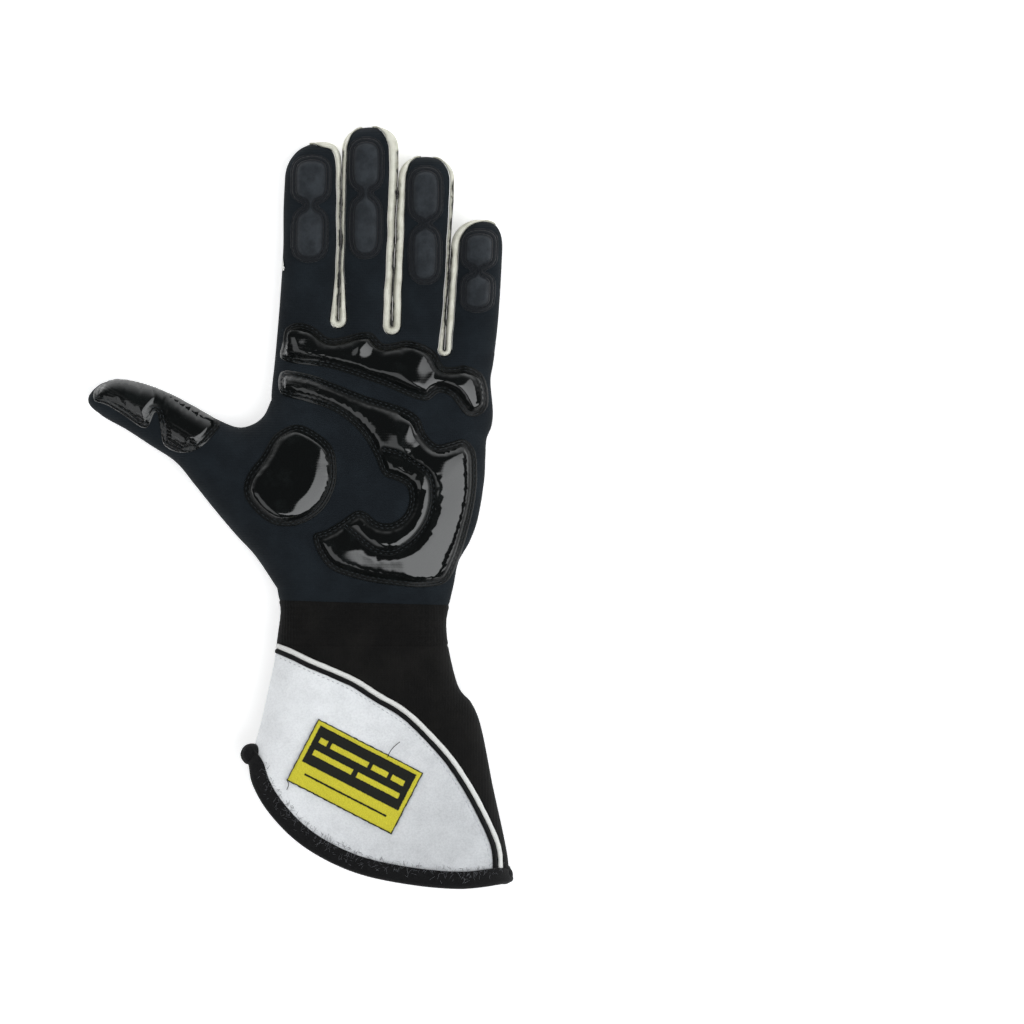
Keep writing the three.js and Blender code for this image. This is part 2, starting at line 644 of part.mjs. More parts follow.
// Piping between the cuff's black and grey panels
const pipingLine = [
  [-13.0, -62.4], [-1.0, -67.4], [10.3, -72.5], [24.3, -78.7], [38.4, -87.1], [52.5, -96.5],
  [61.9, -105.8], [71.3, -117.1], [80.7, -132.2], [89.1, -148.1], [92.9, -158.4], [93.0, -178.0],
];
const pipingWide = 2.0;
const pipingProud = 0.7;
const pipingCurve = new THREE.CatmullRomCurve3(pipingLine.map(([x, y]) => new THREE.Vector3(x, y, 0)));
function beside(distance, steps = 18) {
  return straight(steps).map((t) => {
    const run = pipingCurve.getTangentAt(t);
    const p = pipingCurve.getPointAt(t);
    return new THREE.Vector3(p.x + run.y * distance, p.y - run.x * distance, 0);
  });
}
const bandBetween = (from, to) => prism([...beside(from), ...beside(to).reverse()]);
const farX = 200;
const farY = 40;
const above = (distance) =>
  prism([
    ...beside(distance),
    new THREE.Vector3(farX, -farX, 0),
    new THREE.Vector3(farX, farY, 0),
    new THREE.Vector3(-farX, farY, 0),
  ]);
const below = (distance) =>
  prism([...beside(distance), new THREE.Vector3(-farX, -farX, 0), new THREE.Vector3(-farX, 0, 0)]);

// Badge on the grey panel
const badge = { x: 24.7, y: -124.0, wide: 50, tall: 30, turn: -25.5, thick: 1.1 };
function badgeOutline() {
  const [w, h] = [badge.wide / 2, badge.tall / 2];
  const turn = THREE.MathUtils.degToRad(badge.turn);
  return [[-w, -h], [w, -h], [w, h], [-w, h]].map(([x, y]) => {
    const p = new THREE.Vector2(x, y).rotateAround(new THREE.Vector2(), turn);
    return new THREE.Vector3(p.x + badge.x, p.y + badge.y, 0);
  });
}

// Hem binding: a folded tape over the edge of the cuff, swept round the mouth
const binding = { wide: 7.0, thick: 1.3, past: 1.4, cornerIn: 0.5, cornerDown: 0.6 };
function hemBinding(spare = 0) {
  const ends = (side) =>
    acrossCuff.map((u) =>
      [1, 1 - 1 / cuffSteps].map((t) => {
        const p = cuffPoint(u, t);
        return skinPoint(p.x, p.y, side);
      }),
    );
  const ring = [...ends("palm"), ...ends("back").reverse().slice(1, -1)];
  const [wide, past] = [binding.wide + spare, binding.past + spare];
  const [outer, inner] = [gap - spare, -wall - gap + spare];
  const [out, inn] = [gap + binding.thick + spare, -wall - gap - binding.thick - spare];
  const flat = past - binding.cornerIn;
  const [topCorner, lowCorner] = [out - binding.cornerDown, inn + binding.cornerDown];
  const section = [
    [-wide, outer], [-wide, out], [flat, out], [past, topCorner], [past, lowCorner],
    [flat, inn], [-wide, inn], [-wide, inner], [outer, inner], [outer, outer],
  ];
  const position = ring.flatMap(([edge, up]) =>
    section.flatMap(([a, b]) => {
      const back = -a / edge.distanceTo(up);
      const level = (p) => p.clone().addScaledVector(outward.get(keyOf(p)), b);
      return level(edge).lerp(level(up), back).toArray();
    }),
  );
  const triangles = [];
  const size = section.length;
  ring.forEach((_, i) => {
    const next = (i + 1) % ring.length;
    section.forEach((__, j) => {
      const k = (j + 1) % size;
      const [a, b, c, d] = [i * size + j, i * size + k, next * size + k, next * size + j];
      triangles.push(a, b, c, a, c, d);
    });
  });
  const geometry = new THREE.BufferGeometry();
  geometry.setAttribute("position", new THREE.Float32BufferAttribute(position, 3));
  geometry.setIndex(triangles);
  return geometry;
}

// Materials
const cloth = (color, roughness) => new THREE.MeshStandardMaterial({ color, roughness, metalness: 0 });
const materials = {
  palmKnit: cloth(0x1c2229, 0.9),
  blackKnit: cloth(0x161616, 0.92),
  creamKnit: cloth(0xcccbbd, 0.92),
  greyKnit: cloth(0xcdd0d8, 0.9),
  gloss: cloth(0x0b0c0d, 0.12),
  suede: cloth(0x26282b, 0.75),
  white: cloth(0xe8e8e4, 0.8),
  tape: cloth(0x111112, 0.85),
  badge: cloth(0xe0d634, 0.7),
};

const glove = new THREE.Group();
function addPiece(name, geometry, material) {
  const mesh = new THREE.Mesh(geometry, material);
  mesh.name = name;
  glove.add(mesh);
}

const shellMaterials = { palm_panel: "palmKnit", back_panel: "palmKnit", wrist_band: "blackKnit" };
for (const [name, quads] of panels) {
  if (name === "cuff_front") continue;
  const kind = name.startsWith("fourchette") ? "creamKnit" : (shellMaterials[name] ?? "blackKnit");
  addPiece(name, thicken(quads, 0, -wall, gap / 2), materials[kind]);
}

// The palm side of the cuff, cut along the piping
const cuffFront = panels.get("cuff_front");
const clearOfHem = (made, spare) => made.subtract(solid(hemBinding(spare)));
const frontWall = clearOfHem(solid(thicken(cuffFront, 0, -wall, gap / 2)), gap / 2);
const proudWall = clearOfHem(solid(thicken(cuffFront, pipingProud, -wall, gap / 2)), gap);
const half = pipingWide / 2;
addPiece("cuff_black_panel", geometryOf(frontWall.intersect(above(-half - gap))), materials.blackKnit);
addPiece("piping_white", geometryOf(proudWall.intersect(bandBetween(-half, half))), materials.white);
const blackEdge = half + gap + pipingWide;
const blackBand = bandBetween(half + gap, blackEdge);
addPiece("piping_black", geometryOf(proudWall.intersect(blackBand)), materials.tape);
addPiece("cuff_grey_panel", geometryOf(frontWall.intersect(below(blackEdge + gap))), materials.greyKnit);
addPiece("hem_binding", hemBinding(), materials.tape);

const badgeSheet = solid(thicken(cuffFront, gap + badge.thick, gap, 0));
addPiece("cuff_badge", geometryOf(badgeSheet.intersect(prism(badgeOutline()))), materials.badge);

// Padding on the palm side
addPiece("knuckle_pad", geometryOf(pad(closedCurve(knucklePadOutline, 36), 3.0)), materials.gloss);
addPiece("palm_pad", geometryOf(pad(closedCurve(palmPadOutline, 46), 3.4)), materials.gloss);
addPiece("thumb_base_pad", geometryOf(pad(closedCurve(thumbBasePadOutline, 20), 3.4)), materials.gloss);
addPiece("thumb_pad", geometryOf(pad(closedCurve(thumbPadOutline, 30), 2.4, 2.4)), materials.gloss);
for (const [finger, sizes] of Object.entries(fingerPatches))
  addPiece(`${finger}_patch`, geometryOf(patch(fingerPatch(sizes), patchThick)), materials.suede);

export default glove;
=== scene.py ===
import math

import bmesh
import bpy
import numpy as np
from mathutils import Matrix, Vector
from mathutils.bvhtree import BVHTree
from mathutils.kdtree import KDTree


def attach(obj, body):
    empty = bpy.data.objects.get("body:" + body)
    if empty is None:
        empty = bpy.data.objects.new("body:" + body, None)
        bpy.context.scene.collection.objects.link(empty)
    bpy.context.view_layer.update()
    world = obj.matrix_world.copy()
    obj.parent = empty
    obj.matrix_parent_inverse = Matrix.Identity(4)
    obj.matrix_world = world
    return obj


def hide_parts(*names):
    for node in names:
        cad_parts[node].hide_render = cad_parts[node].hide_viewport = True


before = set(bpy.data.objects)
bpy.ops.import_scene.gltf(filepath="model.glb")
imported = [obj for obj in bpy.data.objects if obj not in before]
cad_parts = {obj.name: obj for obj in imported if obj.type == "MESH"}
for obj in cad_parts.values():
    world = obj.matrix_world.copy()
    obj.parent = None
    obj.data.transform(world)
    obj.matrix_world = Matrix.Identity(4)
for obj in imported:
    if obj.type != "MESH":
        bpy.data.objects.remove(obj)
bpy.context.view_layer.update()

# A left-hand racing glove, lying on its back with the palm up. The tables, the waves and the
# meshes are in millimetres until a piece is finished, which is in metres.
mm = 0.001


# Camera straight above with a long lens, framed as in the photo: 0.46 mm to a pixel of 1024
cameraPlace = {"x": 0.09775, "y": -0.0023, "height": 4.02, "lens": 306.5, "sensor": 36}


def makeCamera(place):
    data = bpy.data.cameras.new("camera")
    data.lens, data.sensor_width = place["lens"], place["sensor"]
    camera = bpy.data.objects.new("camera", data)
    camera.location = (place["x"], place["y"], place["height"])
    bpy.context.scene.collection.objects.link(camera)
    bpy.context.scene.camera = camera


makeCamera(cameraPlace)
print("camera placed")


# Shared cut of the shell
shell = {
    "wall": 1.8, "gap": 0.3, "slit": 0.03, "underRound": 7, "step": 1.15, "wanderAbove": (92, 104),
    "tipPower": 2.3, "tipCorner": 0.9, "thumbEnd": 0.9, "dipFade": 14, "snap": 0.03, "softenings": 4,
    "calm": (1.5, 9), "foldsAbove": -50,
    "knuckle": (87, 70), "wrist": (-42.8, -45), "cuff": (-63.5, -63.5), "mouth": (-116, -171),
}


def table(names, rows):  # named columns, sorted by the first of them
    columns = np.array(sorted(rows), float).T
    return dict(zip(names.split(), columns))


fingerLines = table("y index slit1 slit2 slit3 little", [
    (66, -11.7, 17.6, 42.3, 66.5, 89.3),
    (86, -9.9, 17.9, 42.6, 67.4, 91.6),
    (118, -7.8, 18.8, 43.7, 69.6, 93.5),
    (138, -7.6, 19.0, 44.8, 70.8, 93.6),
    (160, -6.5, 19.5, 45.5, 71.1, 93.6),
    (176, -6.0, 19.6, 45.8, 71.2, 93.6),
])
# wrapLeft and wrapRight: angles round the fingertip, from that side, over which the cream runs out
fingers = [
    {"name": "index", "left": "index", "right": "slit1", "tip": 168.0, "round": 16, "lean": 3.6,
     "wrapLeft": (0, 0.1), "wrapRight": (1.45, 2.0)},
    {"name": "middle", "left": "slit1", "right": "slit2", "tip": 175.0, "round": 11, "lean": 0.2,
     "wrapLeft": (0.3, 1.35), "wrapRight": (0.6, 1.6)},
    {"name": "ring", "left": "slit2", "right": "slit3", "tip": 161.4, "round": 11, "lean": -0.6,
     "wrapLeft": (0.45, 1.5), "wrapRight": (0.2, 1.38)},
    {"name": "little", "left": "slit3", "right": "little", "tip": 132.2, "round": 13, "lean": 1.0,
     "wrapLeft": (0.3, 2.3), "wrapRight": (0, 0.1)},
]
# lower end of each slit: how much of the finger on its left and right the cream strip covers
crotches = [
    {"line": "slit1", "y": 86.0, "radius": 3.8, "left": (1.9, 2.8), "right": (1.9, 2.4)},
    {"line": "slit2", "y": 83.3, "radius": 4.1, "left": (3.7, 4.6), "right": (4.0, 3.4)},
    {"line": "slit3", "y": 72.5, "radius": 3.2, "left": (1.7, 2.2), "right": (3.6, 3.8)},
]
thumbSections = table("k upX upY lowX lowY", [
    (0, -13.1, 49.2, -10.4, -37.3),
    (1, -16.3, 42.3, -20.0, -23.0),
    (2, -21.4, 38.2, -29.2, -12.9),
    (3, -28.3, 36.8, -38.9, -1.4),
    (4, -37.5, 40.3, -48.1, 10.1),
    (5, -48.1, 45.8, -56.8, 20.5),
    (6, -59.6, 51.8, -68.8, 28.5),
    (7, -71.5, 56.3, -79.4, 35.4),
    (8, -83.0, 58.5, -88.5, 40.4),
    (9, -90.6, 57.0, -92.4, 43.2),
    (9.5, -94.3, 54.3, -95.2, 45.4),
    (10, -96.2, 52.1, -96.7, 47.4),
])
palmLeft = table("y x", [
    (88, -9.75), (76.8, -10.7), (65.8, -11.7), (54.7, -12.9), (49.2, -13.1), (-37.3, -10.4),
    (-42.8, -9.4),
])
rightSide = table("y x", [
    (86, 91.6), (76.8, 90.8), (65.8, 89.3), (58.4, 88.1), (44, 89.2), (37, 88.5), (31.4, 86.3),
    (24, 85.8), (12.4, 85.2), (-6, 82.1), (-16.1, 78.4), (-25, 73.4), (-35.9, 71.1), (-45, 69), (-53, 67.6),
    (-63.5, 68.5), (-79.6, 72.2), (-85.1, 74.8), (-89.5, 79), (-99.4, 83.3), (-128.3, 89.2),
    (-158.2, 95.6), (-171, 97),
])
cuffLeft = table("y x", [
    (-42.8, -9.4), (-48, -8.7), (-58.4, -9.9), (-71.3, -11.7), (-85.1, -14.7), (-99.4, -17.9),
    (-116, -22.6),
])
mouthLine = [
    (-22.6, -116), (-19.6, -127), (-12, -139.4), (2, -153.2), (23, -164.6), (47, -170.6),
    (75, -173.2), (97, -171),
]
heights = table("y crown seam floor round", [
    (176, 16.5, 8, 0, 11),
    (120, 17.5, 8.4, 0, 11.5),
    (85, 19.5, 9, 0, 12.5),
    (55, 24.5, 10.5, 0, 17),
    (0, 27, 11.5, 0, 20),
    (-45, 25, 12, 0, 19),
    (-63, 25, 12.5, 0, 20),
    (-105, 30.5, 15, 1.8, 26),
    (-174, 37, 18, 1.8, 32),
])
thumbHeight = {"x": (14, 62), "above": -40, "crown": 22.5, "seam": 12.5, "floor": 3.0, "round": 12}
# where the palm's rim rolls off more gently: by the little finger, and below the index finger
gentler = [
    {"more": 0.5, "x": [(35, 65)], "y": [(-75, -40), (88, 60)]},
    {"more": 0.4, "x": [(30, 5), (-20, -10)], "y": [(38, 52), (96, 84)]},
]


def mix(a, b, t):
    return a + (b - a) * t


def smooth(value, low, high):  # a soft step, falling where low is above high
    t = np.clip((value - low) / (high - low), 0, 1)
    return t * t * (3 - 2 * t)


def along(rows, column, value):  # a smooth curve through a table's rows
    keys, values = next(iter(rows.values())), rows[column]
    last = len(keys) - 1
    value = np.asarray(value, float)
    i = np.clip(np.searchsorted(keys, value, side="right") - 1, 0, last - 1)
    before, after = np.maximum(np.arange(last + 1) - 1, 0), np.minimum(np.arange(last + 1) + 1, last)
    slope = (values[after] - values[before]) / (keys[after] - keys[before])
    step = keys[i + 1] - keys[i]
    t = np.clip((value - keys[i]) / step, 0, 1)
    rise = t * t * (3 - 2 * t)
    bend = slope[i] * step * t * (1 - t) ** 2 - slope[i + 1] * step * t * t * (1 - t)
    return values[i] * (1 - rise) + values[i + 1] * rise + bend


# Soft uneven waves: how strong, how long, and their seed
waves = {
    "wander": (0.35, 19, 0), "slit": (0.8, 11, 7), "strip": (0.22, 13, 10), "puff": (0.5, 7, 30),
    "palm": (0.25, 38, 5), "palmFine": (0.07, 13, 6), "gather": (0.05, 22, 41), "pleat": (2.2, 14, 42),
    "cuff": (0.5, 40, 51), "cuffFine": (0.18, 12, 52), "piping": (0.5, 21, 61), "cord": (0.1, 6, 62),
    "tape": (0.22, 9, 71), "tapeSide": (0.12, 4, 72), "knot": (0.35, 5, 73),
    "fray": (0.25, 3, 81), "badge": (0.12, 9, 82),
}
waveCount, wavePitch = 6, (0.6, 1.5)


def ripple(name, x, y, further=0):
    strength, size, seed = waves[name]
    draw = np.random.default_rng(seed + further)
    total = 0 * (x + y)
    for _ in range(waveCount):
        angle, phase = draw.uniform(0, 2 * np.pi, 2)
        pitch = size * draw.uniform(*wavePitch)
        total = total + np.sin(2 * np.pi * (x * np.cos(angle) + y * np.sin(angle)) / pitch + phase)
    return strength * total / waveCount


def unit(vectors):
    return vectors / np.linalg.norm(vectors, axis=-1, keepdims=True)


def leftOf(path, closed=False):  # directions square to a plan path, on its left
    run = np.roll(path, -1, axis=0) - np.roll(path, 1, axis=0) if closed else np.gradient(path, axis=0)
    return unit(np.stack([-run[:, 1], run[:, 0]], axis=1))


def spread(steps, ends=0.8):  # shares from 0 to 1, closer together near both ends
    t = np.linspace(0, 1, steps + 1)
    return mix(t, (1 - np.cos(np.pi * t)) / 2, ends)


def roundThrough(corners, spans=10, closed=True):  # centripetal curve through corners
    p = np.array(corners, float)
    p = np.vstack([p[-1:], p, p[:2]] if closed else [2 * p[:1] - p[1:2], p, 2 * p[-1:] - p[-2:-1]])
    made = []
    for a, b, c, d in zip(p, p[1:], p[2:], p[3:]):
        t1 = np.linalg.norm(b - a) ** 0.5
        t2 = t1 + np.linalg.norm(c - b) ** 0.5
        t3 = t2 + np.linalg.norm(d - c) ** 0.5
        t = np.linspace(t1, t2, spans, endpoint=False)[:, None]
        ab, bc, cd = mix(a, b, t / t1), mix(b, c, (t - t1) / (t2 - t1)), mix(c, d, (t - t2) / (t3 - t2))
        made.append(mix(mix(ab, bc, t / t2), mix(bc, cd, (t - t1) / (t3 - t1)), (t - t1) / (t2 - t1)))
    return np.vstack(made if closed else made + [p[-2:-1]])


def evenly(path, pitch, closed=False):  # the same path with points a pitch apart
    points = np.vstack([path, path[:1]]) if closed else path
    run = np.concatenate([[0], np.cumsum(np.linalg.norm(np.diff(points, axis=0), axis=1))])
    count = max(2, round(run[-1] / pitch))
    at = np.linspace(0, run[-1], count + 1)[: -1 if closed else None]
    return np.stack([np.interp(at, run, column) for column in points.T], axis=1)


class Line:
    # Distances in plan to a polyline, or to a closed outline, where the inside counts as positive
    def __init__(self, points, closed=False):
        self.points = np.vstack([points, points[:1]]) if closed else np.array(points)
        self.closed = closed
        self.tree = KDTree(len(self.points))
        for i, (x, y) in enumerate(self.points):
            self.tree.insert((x, y, 0), i)
        self.tree.balance()

    def nearest(self, x, y):
        p = np.stack([x, y], axis=1)
        near = np.array([self.tree.find((a, b, 0))[1] for a, b in p])
        best, side = np.full(len(p), np.inf), np.zeros(len(p))
        for shift in (-1, 0):
            i = np.clip(near + shift, 0, len(self.points) - 2)
            a, run = self.points[i], self.points[i + 1] - self.points[i]
            t = np.clip(((p - a) * run).sum(1) / np.maximum((run * run).sum(1), 1e-12), 0, 1)
            off = p - a - run * t[:, None]
            far = np.linalg.norm(off, axis=1)
            turn = np.sign(run[:, 0] * off[:, 1] - run[:, 1] * off[:, 0])
            side = np.where(far < best, turn, side)
            best = np.minimum(best, far)
        return best, side

    def distance(self, x, y):
        x, y = np.broadcast_arrays(np.asarray(x, float), np.asarray(y, float))
        return self.nearest(x.ravel(), y.ravel())[0].reshape(x.shape)

    def inside(self, x, y):  # signed: positive inside the outline, or left of the line
        x, y = np.broadcast_arrays(np.asarray(x, float), np.asarray(y, float))
        far, side = self.nearest(x.ravel(), y.ravel())
        if self.closed:
            a, b = self.points[:-1], self.points[1:]
            odd = np.zeros(x.size, bool)
            for (ax, ay), (bx, by) in zip(a, b):
                if ay != by:
                    crosses = (ay > y.ravel()) != (by > y.ravel())
                    odd ^= crosses & (x.ravel() < ax + (y.ravel() - ay) * (bx - ax) / (by - ay))
            side = np.where(odd, 1, -1)
        return (far * side).reshape(x.shape)


def lineX(name, y):  # the slits wander a little
    x = along(fingerLines, name, y)
    if not name.startswith("slit"):
        return x
    return x + ripple("wander", 0 * y, y, int(name[-1])) * smooth(y, *shell["wanderAbove"])


def fingerSides(finger, y):
    half = shell["slit"] / 2 * (1 + ripple("slit", 0 * y, y))
    left = lineX(finger["left"], y) + (0 if finger["left"] == "index" else half)
    right = lineX(finger["right"], y) - (0 if finger["right"] == "little" else half)
    return left, right


def stripWidth(finger, side, y):  # of the cream beside a finger's face, in plan
    k = fingers.index(finger) - (side == "left")
    if k not in (0, 1, 2):
        return 0 * y
    crotch = crotches[k]
    middle, tip = crotch["left" if side == "right" else "right"]
    u = np.clip((y - crotch["y"]) / (finger["tip"] - crotch["y"]), 0, 1)
    lower, upper = mix(crotch["radius"], middle, np.minimum(1, u * 4)), mix(middle, tip, u * 2 - 1)
    wobble = ripple("strip", 0 * y, y, k + 3 * (side == "left")) * smooth(u, 0, 0.1)
    return np.where(u < 0.5, lower, upper) + wobble - shell["slit"] / 2


def tipEdge(finger, angle):  # round the fingertip, from its right side at 0 to its left at pi
    power = 2 / shell["tipPower"]
    into = np.abs(np.sin(angle)) ** power
    y = finger["tip"] + finger["round"] * (into - 1)
    left, right = fingerSides(finger, y)
    reach = np.sign(np.cos(angle)) * np.abs(np.cos(angle)) ** power
    x = (left + right) / 2 + finger["lean"] * into * into + (right - left) / 2 * reach
    return np.stack([x, y], axis=-1)


def tipSeam(finger, angle):  # edge of the face, inside the cream that wraps over the tip
    edge, near = tipEdge(finger, angle), 0.03
    ahead = tipEdge(finger, np.minimum(angle + near, np.pi))
    run = unit(ahead - tipEdge(finger, np.maximum(angle - near, 0)))
    wide = 0
    for side, turned in (("right", angle), ("left", np.pi - angle)):
        cover = 1 - smooth(turned, *finger["wrap" + side.title()])
        wide = wide + stripWidth(finger, side, edge[..., 1]) * cover
    return edge + wide[..., None] * np.stack([-run[..., 1], run[..., 0]], axis=-1)


def bendY(finger):  # where the fingertip starts to round off
    return finger["tip"] - finger["round"]


def turn(crotch, radius, steps):  # round the lower end of a slit
    angle = np.linspace(0, np.pi, steps + 1)
    x = lineX(crotch["line"], np.array(crotch["y"]))
    return np.stack([x - radius * np.cos(angle), crotch["y"] - radius * np.sin(angle)], axis=1)


turnSteps, fingerSteps, tipSteps = 12, 26, 12


def baseRow():  # from the index's outer side to the little finger's, down each slit's U
    rows = []
    for k, finger in enumerate(fingers):
        leftY = crotches[k - 1]["y"] if k else shell["knuckle"][0]
        rightY = crotches[k]["y"] if k < 3 else shell["knuckle"][1]
        outerLeft, outerRight = fingerSides(finger, np.array((leftY + rightY) / 2))
        start = turn(crotches[k - 1], crotches[k - 1]["radius"], 1)[1, 0] if k else outerLeft
        end = turn(crotches[k], crotches[k]["radius"], 1)[0, 0] if k < 3 else outerRight
        rows += [(mix(start, end, s), mix(leftY, rightY, s), 0, k) for s in spread(fingerSteps)]
        if k < 3:
            # without the points nearest its ends, which would make slivers
            curve = turn(crotches[k], crotches[k]["radius"], turnSteps)[2:-2]
            rows += [(x, crotches[k]["y"], crotches[k]["y"] - low, -1) for x, low in curve]
    return table("x y dip finger", rows)


base = baseRow()
baseShare = (base["x"] - base["x"][0]) / (base["x"][-1] - base["x"][0])
palmSteps = {"above": 33, "thumb": 64, "below": 5}  # rows above, beside and below the thumb's root
thumbRows = spread(palmSteps["thumb"])
palmRowY = np.concatenate([
    np.linspace(shell["knuckle"][0], thumbSections["upY"][0], palmSteps["above"] + 1)[:-1],
    mix(thumbSections["upY"][0], thumbSections["lowY"][0], thumbRows),
    np.linspace(thumbSections["lowY"][0], shell["wrist"][0], palmSteps["below"] + 1)[1:],
])
thumbSteps = 91


def palmPlan():
    rowY = palmRowY[:, None]
    top, low = shell["knuckle"], shell["wrist"]
    t = (top[0] - rowY) / (top[0] - low[0])
    rightY = mix(top[1], low[1], t)
    left, right = along(palmLeft, "x", rowY), along(rightSide, "x", rightY)
    slant = base["y"] - mix(top[0], top[1], baseShare)
    fade = np.maximum(0, 1 - (top[0] - rowY) / shell["dipFade"]) ** 2
    x = mix(left, right, baseShare)
    y = mix(rowY, rightY, baseShare) + slant * (1 - t) - base["dip"] * fade
    x[0], y[0] = base["x"], base["y"] - base["dip"]
    return x, y


def straightRows(k):  # of a finger below its tip: heights, and how far each row is level
    ends = base["y"][base["finger"] == k]
    start = (ends[0] + ends[-1]) / 2
    settled = np.linspace(0, 1, round((bendY(fingers[k]) - start) / shell["step"]) + 1)
    return mix(start, bendY(fingers[k]), settled), settled, start


def coons(bottom, top, left, right):  # fills a patch between its four sides
    u = np.linspace(0, 1, len(bottom))[None, :, None]
    v = np.linspace(0, 1, len(left))[:, None, None]
    sides = mix(bottom[None], top[None], v) + mix(left[:, None], right[:, None], u)
    return sides - mix(mix(bottom[0], bottom[-1], u), mix(top[0], top[-1], u), v)


def fingerPlan(k, palmX, palmY):
    finger = fingers[k]
    columns = np.flatnonzero(base["finger"] == k)
    y, settled, start = straightRows(k)
    rowsY = y[:, None] + (base["y"][columns] - start) * (1 - settled[:, None])
    left, right = fingerSides(finger, rowsY)
    left = left + stripWidth(finger, "left", y)[:, None]
    right = right - stripWidth(finger, "right", y)[:, None]
    x = mix(left, right, spread(fingerSteps)[None, :])
    x[0], rowsY[0] = palmX[0, columns], palmY[0, columns]
    corner = shell["tipCorner"]
    side = np.linspace(0, corner, tipSteps + 1)
    tip = coons(
        np.stack([x[-1], rowsY[-1]], axis=-1),
        tipSeam(finger, np.pi - corner - (np.pi - 2 * corner) * spread(fingerSteps, 0.3)),
        tipSeam(finger, np.pi - side),
        tipSeam(finger, side),
    )[1:]
    return np.vstack([x, tip[..., 0]]), np.vstack([rowsY, tip[..., 1]])


def thumbRails(s):
    return [along(thumbSections, name, s) for name in ("upX", "upY", "lowX", "lowY")]


def thumbEnd(across):  # how far the tip reaches past its last section, across from -1 to 1
    return shell["thumbEnd"] * (1 - across * across)


def thumbPlan(palmX, palmY):
    last = thumbSections["k"][-1]
    s = np.concatenate([np.linspace(0, last, thumbSteps + 1), [last, last]])
    past = np.maximum(np.arange(len(s)) - thumbSteps, 0)[:, None] / 2
    upX, upY, lowX, lowY = thumbRails(s)
    x = mix(upX[:, None], lowX[:, None], thumbRows) - past * thumbEnd(2 * thumbRows - 1)
    y = mix(upY[:, None], lowY[:, None], thumbRows)
    rows = slice(palmSteps["above"], palmSteps["above"] + len(thumbRows))
    x[0], y[0] = palmX[rows, 0], palmY[rows, 0]
    return x, y


def gloveOutline():  # in plan, without the open mouth
    points, sideSteps, longSteps, palmSide, capSteps = [], 160, 400, 90, 29

    def add(x, y):
        points.append(np.stack(np.broadcast_arrays(x, y), axis=1))

    y = np.linspace(shell["mouth"][0], shell["wrist"][0], sideSteps)
    add(along(cuffLeft, "x", y), y)
    up = np.linspace(0, thumbSections["k"][-1], longSteps)
    _, _, lowX, lowY = thumbRails(up)
    add(lowX, lowY)
    tipUp = np.array([thumbSections["upX"][-1], thumbSections["upY"][-1]])
    tipLow = np.array([thumbSections["lowX"][-1], thumbSections["lowY"][-1]])
    across = np.linspace(1, -1, capSteps + 1)[1:-1]
    cap = (tipUp + tipLow) / 2 + (tipLow - tipUp) / 2 * across[:, None]
    add(cap[:, 0] - thumbEnd(across), cap[:, 1])
    upX, upY, _, _ = thumbRails(up[::-1])
    add(upX, upY)
    y = np.linspace(thumbSections["upY"][0], shell["knuckle"][0], palmSide)
    add(along(palmLeft, "x", y), y)
    for k, finger in enumerate(fingers):
        startY = crotches[k - 1]["y"] if k else shell["knuckle"][0]
        endY = crotches[k]["y"] if k < 3 else shell["knuckle"][1]
        y = np.linspace(startY, bendY(finger), sideSteps)
        add(fingerSides(finger, y)[0], y)
        points.append(tipEdge(finger, np.linspace(np.pi, 0, sideSteps)))
        y = np.linspace(bendY(finger), endY, sideSteps)
        add(fingerSides(finger, y)[1], y)
        if k < 3:
            points.append(turn(crotches[k], shell["slit"] / 2, 10))
    y = np.linspace(shell["knuckle"][1], shell["mouth"][1], longSteps)
    add(along(rightSide, "x", y), y)
    return np.vstack(points)


outline = Line(gloveOutline())


def skin(x, y, side):  # the shell over a point of the plan
    x, y = np.broadcast_arrays(np.asarray(x, float), np.asarray(y, float))
    inThumb = smooth(-x, *thumbHeight["x"]) * (y > thumbHeight["above"])
    level = "crown" if side == "palm" else "floor"
    seam = mix(along(heights, "seam", y), thumbHeight["seam"], inThumb)
    far = mix(np.maximum(0, along(heights, level, y)), thumbHeight[level], inThumb)
    rounding = mix(along(heights, "round", y), thumbHeight["round"], inThumb)
    if side == "back":
        rounding = shell["underRound"] + 0 * x
    else:
        for area in gentler:
            more = area["more"]
            for place, steps in ((x, area["x"]), (y, area["y"])):
                for low, high in steps:
                    more = more * smooth(place, low, high)
            rounding = rounding * (1 + more)
    distance = outline.distance(x, y)
    distance = np.where(distance < shell["snap"], 0, distance)
    t = np.minimum(1, distance / rounding)
    if side == "palm":  # soft folds in the cloth, none at the seams
        folds = ripple("palm", x, y) + ripple("palmFine", x, y * 1.8)
        far = far + smooth(distance, *shell["calm"]) * folds * (y > shell["foldsAbove"])
    return np.stack([x, y, seam + (far - seam) * np.sqrt(1 - (1 - t) ** 2)], axis=-1)


# Mesh helpers
def addGrid(bm, points, uv=None):
    rows, columns = points.shape[:2]
    made = bmesh.ops.create_grid(bm, x_segments=columns - 1, y_segments=rows - 1, size=0.5)["verts"]
    flat = points.reshape(-1, 3)
    place = {}
    for i, vert in enumerate(made):
        vert.co = flat[i]
        place[vert] = i
    if uv is not None:
        layer = bm.loops.layers.uv.new("UVMap")
        for face in {face for vert in made for face in vert.link_faces}:
            for loop in face.loops:
                loop[layer].uv = uv.reshape(-1, 2)[place[loop.vert]]
    return made


def closeUp(bm, near=0.004, flat=0.001):  # merges doubles; a closed form then faces outwards
    bmesh.ops.remove_doubles(bm, verts=bm.verts, dist=near)
    bmesh.ops.dissolve_degenerate(bm, dist=flat, edges=bm.edges)
    bmesh.ops.recalc_face_normals(bm, faces=bm.faces)


